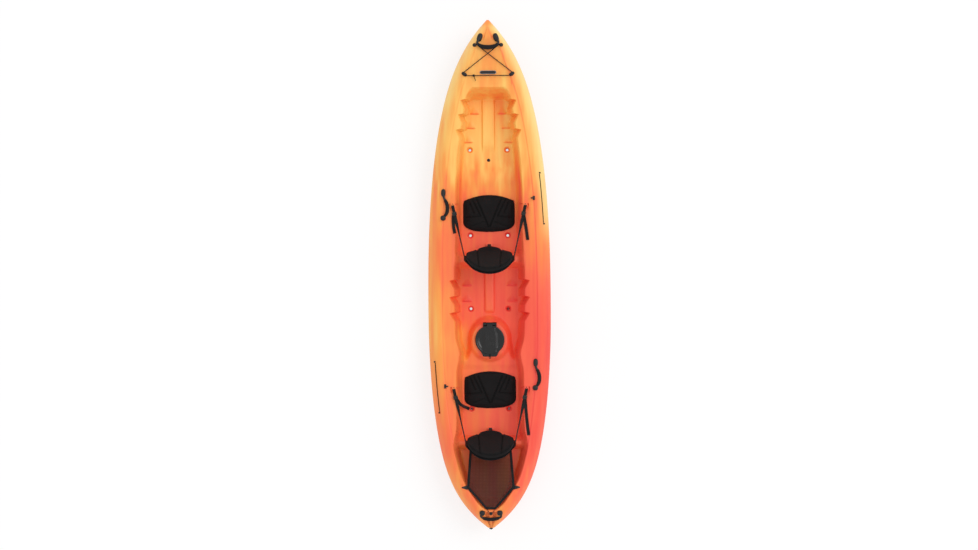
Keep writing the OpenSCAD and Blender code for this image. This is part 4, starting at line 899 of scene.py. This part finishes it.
# Paddle keeper cords along the gunwale and the cords behind the net
keepers = {"left": (-1, ry + 199, ry - 150), "right": (1, fy + 278, fy - 71)}
netCord = [(-28, -1668, 314.5), (-24, -1682, 314.5), (-12, -1701, 319.05), (-6, -1706.5, 317.75), (0, -1707, 317.55)]


def makeCords():
    for word, (side, y0, y1) in keepers.items():
        y = linspace(y0, y1, 40)
        x = side * (halfBeam(y) - 38)
        rings = tubeRings(stack([x, y, plainDeck(x, y) + 2.9], 1), 3.0, 10)
        settle(bar(word + "Keeper", rings), "bungee", "hull", word + "_paddle_cord")
    path = netCord + [(-x, y, h) for x, y, h in netCord[-2::-1]]
    settle(bar("netCords", tubeRings(curved(path, 6), 2.0, 10)), "bungee", "hull", "net_cords")


makeCords()
print("stage: cords")


# Seat webbing: laps the anchor bar, lies flat through the buckle, then turns on edge
webbing = {"width": 22.0, "thick": 2.0, "anchorX": 260.0, "anchorYs": (501.0, -814.0), "anchorZs": (278.0, 276.9),
           "bar": 9.0, "wrap": 3.9, "along": (0.08, 0.16, 0.26, 0.36, 0.46, 0.6, 0.8, 1.0),
           "rolls": [0.0] * 11 + [24, 50, 68, 70, 72]}
tailRuns = {("front", -1): [(-8, -11, -8.3), (-9, -50, -11), (-6, -95, -13), (2, -140, -15)],
            ("front", 1): [(2, -11, -8.3), (10, -60, -12), (20, -120, -16), (29, -190, -20)],
            ("rear", -1): [(8, -11, -8.3), (30, -45, -30), (55, -66, -95), (80, -80, -160), (97, -90, -165)],
            ("rear", 1): [(2, -11, -8.3), (8, -95, -14), (16, -185, -16), (26, -272, -18)]}
backrest = {"hingeYs": (216.0, -1110.0), "hingeZ": 134.0, "lean": radians(28), "wrap": 30.0, "thick": 36.0,
            "half": 166.0, "tall": 376.0, "low": 14.0, "tipLow": 153.0, "tipHigh": 205.0, "earS": 181.0,
            "earW": 16.0, "channelX": 83.0}
ends = ("front", "rear")


def backPoint(k, x, s, n):
    c, d = cos(backrest["lean"]), sin(backrest["lean"])
    x, s, n = np.broadcast_arrays(np.asarray(x, float), s, n)
    return stack([x, backrest["hingeYs"][k] - s * d + n * c, backrest["hingeZ"] + s * c + n * d], -1)


def backSide(x):
    return backrest["wrap"] * minimum(1, abs(x) / backrest["half"]) ** 2


def strapPoints(k, side):
    w, b, r = webbing, backrest, webbing["wrap"]
    start = array([side * w["anchorX"], w["anchorYs"][k] - 6, w["anchorZs"][k] + w["bar"]])
    ear = backPoint(k, side * (b["half"] + b["earW"] - 4), b["earS"], b["wrap"] - b["thick"] + w["thick"] + 4.5)
    turn = [start + array([0, r * cos(t), r * sin(t)]) for t in radians(np.arange(-90, 91, 30))]
    run = [mix(start + array([0, 0, r]), ear, t) for t in w["along"]]
    return array([start + array([0, -6, -r])] + turn + run)


def tailPath(buckle, steps):
    run = []
    for dx, dy, dz in steps:
        x, y = buckle[0] + dx, buckle[1] + dy
        floor = float(np.max(plainDeck(x + array([-13, 0, 13]), np.full(3, y))))
        run.append((x, y, 2.4 + max(buckle[2] + dz, floor)))
    return curved(run, 9)


def makeStrap(k, end, side, word):
    pts = strapPoints(k, side)
    rolls = side * curved(array(webbing["rolls"])[:, None], 5)[:, 0]
    strap = bar(end + word + "Strap", ribbonRings(curved(pts, 5), webbing["width"], webbing["thick"], rolls))
    paint(strap, "webbing")
    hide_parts(end + "_" + word.lower() + "_strap")
    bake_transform(strap)
    path = tailPath(mix(pts[8], pts[9], 0.9), tailRuns[(end, side)])
    flat = np.cross(unit(np.gradient(path, axis=0)), (0, 0, 1))
    hem = bar(end + word + "Tail", ribbonRings(path, webbing["width"], webbing["thick"], 0.0, flat))
    settle(hem, "webbing", "hull", end + "_strap_tails")
    if (end, side) == ("rear", -1):
        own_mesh(hem)


for k, end in enumerate(ends):
    makeStrap(k, end, -1, "Left")
    makeStrap(k, end, 1, "Right")
print("stage: straps")


# Padded pieces are sewn shapes: blown up a little by cloth pressure, then the channels are pressed in
puff = {"frames": 20, "cap": 0.004}
cloth = {"quality": 4, "mass": 0.3, "tension_stiffness": 30, "compression_stiffness": 30, "bending_stiffness": 2,
         "use_pressure": True, "uniform_pressure_force": 4.0}


def puffed(obj, pins):
    rest = places(obj)
    obj.vertex_groups.new(name="held").add(pins, 1.0, "REPLACE")
    mod = obj.modifiers.new("cloth", "CLOTH")
    for k, v in cloth.items():
        setattr(mod.settings, k, v)
    mod.settings.effector_weights.gravity = 0
    mod.settings.vertex_group_mass = "held"
    mod.point_cache.frame_end = puff["frames"]
    for f in range(1, puff["frames"] + 1):
        scene.frame_set(f)
    baked(obj)
    scene.frame_set(1)
    obj.vertex_groups.clear()
    move = places(obj) - rest
    far = np.linalg.norm(move, axis=1, keepdims=True)
    now = rest + move * minimum(1, puff["cap"] / maximum(far, 1e-9))
    obj.data.vertices.foreach_set("co", now.ravel())
    mod = obj.modifiers.new("finer", "SUBSURF")
    mod.levels = 1
    mod.render_levels = 1
    return places(baked(obj)) * 1000


def padFrom(form, name, points):
    mesh = form.data.copy()
    mesh.vertices.foreach_set("co", (points * metre).ravel())
    return shade(linked(name, mesh), 60)


def segmentGap(x, y, a, b):
    a, b = array(a, float), array(b, float)
    d = b - a
    t = clamp(((x - a[0]) * d[0] + (y - a[1]) * d[1]) / (d @ d))
    return hypot(x - a[0] - t * d[0], y - a[1] - t * d[1])


def crowded(n, share):
    u = linspace(-1, 1, n)
    return sin(u * pi / 2) * share + u * (1 - share)


# Seat pad: arched front, round rear corners, pressed vee channels
seatPad = {"width": 376.0, "length": 272.0, "edge": 15.0, "crown": 12.0, "ys": (fy, ry), "bottom": seatZ + 0.4,
           "low": 3, "arch": 42, "rear": 6, "rimHalf": (180, 128), "rimDeep": 2.2, "channelW": 5.2,
           "channels": [((88, 101), (6, -94), 7.0), ((120, 98), (62, -21), 6.0), ((142, 82), (110, 2), 5.0),
                        ((62, -21), (172, -30), 4.0), ((40, -62), (120, -92), 2.5)]}


def padHalf(v):
    rear = sqrt(maximum(0.02, 1 - 0.72 * maximum(0, (-0.45 - v) / 0.55) ** 2.6))
    return seatPad["width"] / 2 * where(v > 0.72, 1 - 0.03 * (v - 0.72) / 0.28, rear) * (1 - 0.012 * v ** 2)


def makeSeatPads():
    u, v = np.meshgrid(crowded(67, 0.35), crowded(49, 0.35))
    half = seatPad["length"] / 2
    x = u * padHalf(v)
    y = v * (half - where(v > 0, seatPad["arch"], seatPad["rear"]) * u ** 2)
    roll = sqrt(maximum(0, 1 - clamp((maximum(abs(u), abs(v)) - 0.9) / 0.1) ** 2))
    z = seatPad["low"] + (seatPad["edge"] - seatPad["low"]) * roll
    z = z + seatPad["crown"] * (1 - u ** 4) * (1 - v ** 4) * roll
    verts, faces = sheetBetween(stack([x, y, z], -1), stack([x * 0.985, y * 0.985, 0 * z], -1))
    form = makeObject("padForm", verts, faces)
    co = puffed(form, list(range(u.size, len(verts))))
    dip = np.zeros(len(co))
    for a, b, deep in seatPad["channels"]:
        gap = segmentGap(abs(co[:, 0]), co[:, 1], a, b)
        dip = maximum(dip, deep * bell(gap, 0, seatPad["channelW"]))
    rim = seatPad["rimDeep"] * bell(np.max(abs(co[:, :2]) / seatPad["rimHalf"], axis=1), 0.93, 0.02)
    co[:, 2] -= (dip + rim) * rise(co[:, 2], 8, 6)
    # The stored seam mask darkens the channels and rim band as painted shade
    mark(form, "seam", clamp(maximum(dip / 7, rim / 4)))
    for k, end in enumerate(ends):
        pad = padFrom(form, end + "SeatPad", co + array([0, seatPad["ys"][k], seatPad["bottom"]]))
        settle(pad, "pad", "hull", end + "_seat_pad")
    bpy.data.objects.remove(form)


makeSeatPads()
print("stage: seat pads")


# Backrest: half-round outline with a scalloped foot, three panels and a rim band
backSewn = {"channel": 8, "channelW": 5, "band": 3.4, "bandIn": 26, "bandW": 4, "bulge": 13, "bulgeHalf": 105,
            "rollIn": 26, "scallop": 9.0}


def backTop(x):
    f = minimum(1, abs(x) / backrest["half"])
    return mix(backrest["tipHigh"], backrest["tall"], sqrt(1 - f ** 2.2))


def backFoot(x, scallop):
    f = minimum(1, abs(x) / backrest["half"])
    return mix(backrest["low"], backrest["tipLow"], f ** 2.1) + scallop * bell(abs(x), backrest["channelX"], 6)


def makeBackrests():
    b, w = backrest, backSewn
    f, t = np.meshgrid(crowded(73, 0.45) * 0.998, linspace(0, 1, 53))
    x = f * b["half"]
    s0, s1 = backFoot(x, w["scallop"]), backTop(x)
    s = mix(s0, s1, t)
    inset = minimum(minimum(s - s0, s1 - s), (1 - abs(f)) * b["half"] + 1)
    roll = sqrt(maximum(0, 1 - (1 - clamp(inset / w["rollIn"])) ** 2))
    bulge = w["bulge"] * bell(s - s0, 26, 34) * roll * clamp(1 - (x / w["bulgeHalf"]) ** 2)
    back = backSide(x) - b["thick"]
    face = 6 + (b["thick"] - 9) * roll + bulge
    verts, faces = sheetBetween(stack([x, back + face, s], -1), stack([x, back, s], -1))
    form = makeObject("backForm", verts, [q[::-1] for q in faces])
    co = puffed(form, list(range(x.size, len(verts))))
    ax = abs(co[:, 0])
    front = rise(co[:, 1] - backSide(co[:, 0]) + b["thick"], 14, 10)
    inTop = backTop(minimum(ax, b["half"])) - co[:, 2]
    middle = b["channelX"] - 0.05 * (co[:, 2] - 200)
    channel = w["channel"] * bell(ax, middle, w["channelW"]) * rise(inTop, 18, 10)
    band = w["band"] * bell(inTop, w["bandIn"], w["bandW"]) * rise(co[:, 2], 190, 30)
    co[:, 1] -= (channel + band) * front
    # The stored seam mask darkens the channel and band as painted shade
    mark(form, "seam", clamp(maximum(channel / 9, band / 5) * front))
    for k, end in enumerate(ends):
        pad = padFrom(form, end + "BackrestPad", backPoint(k, co[:, 0], co[:, 2], co[:, 1]))
        settle(pad, "pad", end + "_backrest", end + "_backrest_pad")
        makeBackShell(k, end)
    bpy.data.objects.remove(form)


def makeBackShell(k, end):
    f, t = np.meshgrid(crowded(45, 1), linspace(0.02, 0.98, 31))
    half, ear = backrest["half"], clamp((abs(f) - 0.93) / 0.07)
    x = f * mix(half - 3, half + backrest["earW"], ear)
    s = mix(backFoot(f * half, 0), backTop(f * half), t)
    n = backSide(x) - backrest["thick"] - 1.4
    shell = makeObject(end + "BackShell", *sheetBetween(backPoint(k, x, s, n - 3), backPoint(k, x, s, n)))
    settle(shell, "black", end + "_backrest", end + "_backrest_shell")


makeBackrests()
print("stage: backrests")


# Cargo net: stretched mesh in a sewn binding, triangular side clips and front studs
net = {"halves": [(-1676, 36), (-1520, 172), (-1198, 147)], "heights": [(-1676, 308.3), (-1520, 318.04), (-1198, 208)],
       "inner": [(-1660, 30), (-1514, 153.6), (-1214, 130)], "thick": 1.2, "sag": 7,
       "hem": [(0, 0.2), (0, 1.6), (0.08, 2.1), (0.5, 2.3), (0.92, 2.1), (1, 1.6), (1, 0.2), (0.5, 0)],
       "stud": [(0.1, 200), (9, 200), (9, 206), (8.2, 207.3), (0.1, 207.5)], "studAt": (133, -1205.5),
       "clip": [(166, -1503), (166, -1536), (209, -1523), (209, -1516)], "clipRound": 4.0,
       "clipRings": [(1.0, 313.7), (1.0, 316.8), (0.94, 317.6), (0.4, 317.9)]}


def netLoop(plan):
    return array([(-x, y) for y, x in plan[::-1]] + [(x, y) for y, x in plan], float)


def makeNet():
    rear, middle, front = [y for y, _ in net["halves"]]
    ys = np.concatenate([linspace(rear, middle, 22), linspace(middle, front, 40)[1:]])
    u, y = np.meshgrid(linspace(-1, 1, 41), ys)
    x = u * (along(y, net["halves"]) - 1)
    sag = net["sag"] * (1 - u ** 2) * span(y, rear, 120, front, 120)
    z = along(y, net["heights"]) - sag + 0.5 * net["thick"]
    mesh = makeObject("cargoNet", stack([x, y, z], -1).reshape(-1, 3), gridFaces(*u.shape), 60)
    settle(mesh, "mesh", "hull", "cargo_net")
    corners, inner, rings = netLoop(net["halves"]), netLoop(net["inner"]), []
    for i in range(6):
        for t in linspace(0, 1, 16, endpoint=False):
            a, b = mix(corners[i], corners[(i + 1) % 6], t), mix(inner[i], inner[(i + 1) % 6], t)
            ring = [(mix(a, b, w), h + net["thick"] + 0.4) for w, h in net["hem"]]
            rings.append([(*q, along(q[1], net["heights"]) + h) for q, h in ring])
    settle(makeObject("netBinding", *ringMesh(rings, True), 50), "webbing", "hull", "net_binding")
    parts = []
    for side in (-1, 1):
        parts += [clipPlate(side), lathe(net["stud"], (side * net["studAt"][0], net["studAt"][1], 0), 32)]
    settle(makeObject("netClips", *joined(parts)), "black", "hull", "net_clips")


def clipPlate(side):
    corners, outline = array(net["clip"], float), []
    for i, c in enumerate(corners):
        p, q = [c + unit(o - c) * net["clipRound"] for o in (corners[i - 1], corners[(i + 1) % 4])]
        outline += [(1 - t) ** 2 * p + 2 * t * (1 - t) * c + t * t * q for t in linspace(0, 1, 6)]
    outline = array(outline)
    mid = outline.mean(0)
    rings = []
    for k, z in net["clipRings"]:
        ring = mid + (outline - mid) * k
        rings.append(stack([side * ring[:, 0], ring[:, 1], np.full(len(ring), z)], 1)[::side])
    return ringMesh(rings)


makeNet()
print("stage: net")


# Handles: moulded feet, a core that turns in them and a crescent grip
sideRun = [(96, 0, 8.5), (80, 0, 8.5), (62, -2, 9), (46, -8, 9.5), (28, -18, 11.2), (4, -27, 12.2), (-24, -29, 12.2),
           (-48, -26, 11.6), (-66, -17, 10.4), (-77, -7, 8.4), (-85, -1, 7), (-94, 0, 7)]
bowHalf = [(56, 2, 10), (61, -14, 11), (70, -32, 10.5), (75, -48, 10), (68, -62, 11), (50, -73, 13), (26, -80, 15),
           (0, -82, 15.5)]
sternHalf = [(62, 4, 8), (70, -8, 7), (74, -19, 7), (68, -30, 8.5), (53, -38, 10.5), (36, -43, 11.5), (18, -46, 12),
             (0, -47, 12)]


def mirrored(half):
    return half + [(-x, y, w) for x, y, w in half[-2::-1]]


# Feet: place, half sizes, turn, height
handles = {
    "bow": {"pivot": (0, 1707, 339.63), "turns": (0, -10.5, 0), "grip": (0.26, 0.74), "path": mirrored(bowHalf),
            "feet": [(s * 58, 1698, 328.63, 31, 19, 90 + s * 20, 15.5) for s in (-1, 1)]},
    "stern": {"pivot": (0, -1703, 324.94), "turns": (0, 16, 0), "grip": (0.26, 0.74), "path": mirrored(sternHalf),
              "feet": [(s * 63, -1703, 313.94, 20, 19, 0, 14.5) for s in (-1, 1)]},
    "left": {"pivot": (-326, 500, 293.81), "turns": (8, 0, 90), "grip": (0.3, 0.81), "path": sideRun,
             "feet": [(-326, 590, 282.81, 28, 16.5, 90, 14.5), (-329, 410, 282.81, 19, 19, 0, 14.5)]},
    "right": {"pivot": (326, -720, 289.33), "turns": (15, 0, 90), "grip": (0.3, 0.81), "path": sideRun,
              "feet": [(327, -630, 278.33, 28, 16.5, 90, 14.5), (324, -810, 278.33, 19, 19, 0, 14.5)]}}


def turned(points, pivot, turns):
    m = Matrix.Translation(pivot)
    for angle, axis in zip(turns, "YXZ"):
        m = m @ Matrix.Rotation(radians(angle), 4, axis)
    r = array(m)
    return points @ r[:3, :3].T + r[:3, 3]


def makeHandle(word, h):
    run = curved(h["path"], 8)
    path, wide = turned(run * array([1, 1, 0]), h["pivot"], h["turns"]), run[:, 2]
    gone = np.concatenate([[0], np.cumsum(runs(path))])
    tall = mix(4.1, maximum(4.2, wide * 0.5), rise(minimum(gone, gone[-1] - gone), 20, 20))
    settle(bar(word + "Bail", ovalRings(path, wide * 0.86, tall)), "black", word + "_handle", word + "_handle_bail")
    step = linspace(0, 1, len(run))
    pick = (step >= h["grip"][0]) & (step <= h["grip"][1])
    g, w = linspace(0, 1, int(pick.sum())), wide[pick]
    closing = minimum(1, minimum(g, 1 - g) * 14 + 0.72)
    ridge = 0.3 * sin(g * pi * 22) * smooth(sin(pi * g) * 3)
    skin = ovalRings(path[pick], w * closing + 0.6 + ridge, (w * 0.56 + 1.4) * closing + ridge, 24)
    settle(bar(word + "Grip", skin, 60), "rubber", word + "_handle", word + "_handle_grip")


# A domed pad on the deck, drawn out along one direction
padDome = [(1.0, 0), (1.0, 0.30), (0.97, 0.5), (0.88, 0.74), (0.7, 0.92), (0.4, 1.0), (0.05, 1.02)]


def footPad(x, y, z, halfA, halfB, turn, tall):
    ca, sa = cos(circle(40)), sin(circle(40))
    c, d = cos(radians(turn)), sin(radians(turn))
    rings = []
    for k, h in padDome:
        p = np.sign(ca) * abs(ca) ** 0.8 * halfA * k
        q = np.sign(sa) * abs(sa) ** 0.8 * halfB * k
        rings.append(stack([x + c * p - d * q, y + d * p + c * q, np.full(40, z + tall * h)], 1))
    return ringMesh(rings)


for word, h in handles.items():
    makeHandle(word, h)
    pads = makeObject(word + "Feet", *joined([footPad(*f) for f in h["feet"]]), 40)
    settle(pads, "black", "hull", word + "_handle_feet")
print("stage: handles")


# Hatch lid: round, with a raised middle band, dished sides, hinge tab and a drawn-out chin
hatch = {"y": hatchY, "radius": 105.0, "low": 197.4, "thick": 4.0, "seat": 179.0, "pinY": 115.0, "pinZ": 191.0,
         "chin": 120, "band": 3.5, "dish": 4.2, "rim": 1.4, "ribs": 0.5, "bandHalf": [(-110, 45), (95, 37)],
         "barrel": [(3.3, -22), (9.5, -22), (11, -21), (11, 21), (9.5, 22), (3.3, 22)],
         "web": [(-30, 204.4), (-16, 204.2), (-6, 201.6), (0, 199.5)], "webLow": 194,
         "knuckle": [(0.5, 23.5), (10.5, 23.5), (12, 24.5), (12, 47), (10.5, 49), (0.5, 49)],
         "base": [(1.5, 176.5), (0, 177.5), (0, 181), (1.5, 182.4)]}


def lidEdge(a):
    x, y, r = cos(a), sin(a), hatch["radius"]
    chin = hatch["chin"] / maximum(1e-6, -y)
    slope = (72 * 50 + 24 * 70) / maximum(1e-6, 50 * abs(x) + 24 * maximum(0, -y))
    return where(y < -0.6, maximum(r, minimum(chin, slope)), r)


def lidTop(x, y):
    r, ax, half = hypot(x, y), abs(x), along(y, hatch["bandHalf"])
    band = hatch["band"] * fall(ax, half + 3, 5) * span(y, -100, 8, 90, 8)
    dish = hatch["dish"] * rise(ax, half + 4, 14) * fall(r, 88, 16)
    rim = hatch["rim"] * span(r, 92, 4, 104, 3)
    ribs = hatch["ribs"] * (cos(x / 6 * pi) > 0.72) * fall(ax, half - 6, 3) * span(y, -72, 5, 60, 5)
    return hatch["low"] + hatch["thick"] + band - dish + rim + ribs


def makeHatchLid():
    a = circle(144)
    edge, radius, low, seat = lidEdge(a), hatch["radius"], hatch["low"], hatch["seat"]

    def flatRing(r, z):
        return stack([r * cos(a), hatch["y"] + r * sin(a), np.full_like(a, z)], 1)

    def topRing(k, drop=0.0):
        x, y = k * edge * cos(a), k * edge * sin(a)
        return stack([x, hatch["y"] + y, lidTop(x, y) - drop], 1)

    inner = radius - 2.6
    skirt = [(0.5, low), (60, low - 1.2), (inner - 1, low - 0.2), (inner, low - 1), (inner, seat + 4.6),
             (radius - 0.4, seat + 4.4), (radius, seat + 5), (radius, low - 0.2), (edge, low)]
    rings = [flatRing(r, z) for r, z in skirt] + [topRing(1.0, 1.6), topRing(0.993, 0.4)]
    rings += [topRing(k) for k in linspace(0.98, 0.02, 56)]
    y, z = hatch["y"] + hatch["pinY"], hatch["pinZ"]
    web = []
    for dy, top in hatch["web"]:
        half = [(21, hatch["webLow"]), (21, top - 1.5), (19.5, top)]
        web.append([(-21, y + dy, hatch["webLow"])] + [(x, y + dy, h) for x, h in half]
                   + [(-x, y + dy, h) for x, h in half[:0:-1]])
    parts = [ringMesh(rings), lathe(hatch["barrel"], (0, y, z), 40, "x"), ringMesh(web)]
    settle(makeObject("hatchLid", *joined(parts), 32), "gloss", "hatch_lid", "hatch_lid")
    knuckles = []
    for side in (-1, 1):
        verts, faces = lathe(hatch["knuckle"], (0, 0, 0), 40, "x")
        knuckles.append((verts * array([side, 1, 1]) + array([0, y, z]), [f[::side] for f in faces]))
    base = []
    for inset, h in hatch["base"]:
        x, fore = 49 - inset, y + 9 - inset
        base.append([(-x, y - 28, h), (x, y - 28, h), (x, fore, h), (-x, fore, h)])
    knuckles.append(ringMesh(base))
    settle(makeObject("hatchKnuckles", *joined(knuckles)), "gloss", "hull", "hatch_ring")


makeHatchLid()
print("stage: hatch")


# Bare plate on the foredeck with a paler rim: inset and drop of each ring
plate = {"rim": [(0, -0.4), (0.5, 0), (2.0, 0), (2.4, -0.8), (12, -0.8)],
         "face": [(2.5, -0.7), (2.5, -0.2), (3.2, 0), (12.5, 0.2)]}


def makePlate():
    lo, hi = [array(p) * 1000 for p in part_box("bow_plate")]
    middle, (halfL, halfW, _) = (lo + hi) / 2, (hi - lo) / 2
    a = circle(64)

    def ring(k, z):
        x = np.sign(cos(a)) * (halfL - halfW) + (halfW - k) * cos(a)
        return stack([x, middle[1] + (halfW - k) * sin(a), np.full(64, z)], 1)

    foot = [ring(0, lo[2])]
    rim = bar("plateRim", foot + [ring(k, hi[2] + h) for k, h in plate["rim"]])
    settle(rim, "rim", "hull", "bow_plate")
    face = bar("plateFace", [ring(k, hi[2] + h) for k, h in plate["face"]])
    settle(face, "plate", "hull", "bow_plate")


makePlate()


# Posts: a mushroom stem on an oval base, the rear pair drawn out: past the stem's radius, height
postProfile = [(1, 2), (0, 4.2), (0, 11.6), (2.6, 12.2), (4, 13), (4, 13.8), (2.5, 15.2), (0, 15.9), (-7.9, 16)]


def makePosts():
    parts = []
    for (x, y), z in zip(bungee["posts"], bungee["bases"]):
        oval = (21, 13, -32 if x < 0 else 32) if y < 1500 else (13.5, 12, 0)
        parts.append(footPad(x, y, z, *oval, 3.9))
        parts.append(lathe([(bungee["stem"] + r, z + h) for r, h in postProfile], (x, y, 0), 36))
    settle(makeObject("bungeePosts", *joined(parts), 40), "black", "hull", "bungee_posts")


makePosts()

# Small fittings keep their construction shape with their edges broken
broken = {"paddleHooks": ("paddle_hooks", "black", 0.0012), "strapAnchors": ("strap_anchors", "hull", 0.0007),
          "strapBuckles": ("strap_buckles", "black", 0.0009), "netEye": ("net_eye", "black", 0.0007),
          "cordPlugs": ("paddle_cord_plugs", "black", 0.001), "footwellPlug": ("footwell_plug", "black", 0.0008),
          "drainPlug": ("drain_plug", "black", 0.0007), "drainBush": ("drain_bush", "black", 0.0006),
          "backBrackets": ("backrest_brackets", "hull", 0.0008), "frontHinge": ("front_hinge_plate", "black", 0.0007),
          "rearHinge": ("rear_hinge_plate", "black", 0.0007), "pullTab": ("hatch_pull_tab", "rubber", 0.0006),
          "hatchRing": ("hatch_ring", "black", 0.0006)}
for name, (node, finish, width) in broken.items():
    settle(cadCopy(node, name, width), finish, nodes[node]["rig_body"], node)
for node, finish in (("hatch_gasket", "rubber"), ("drain_seal", "rubber"), ("hatch_hinge_pin", "steel"),
                     ("hatch_screws", "screw"), ("fitting_screws", "screw"), ("backrest_pins", "steel")):
    paint(nodes[node], finish)
print("stage: fittings")
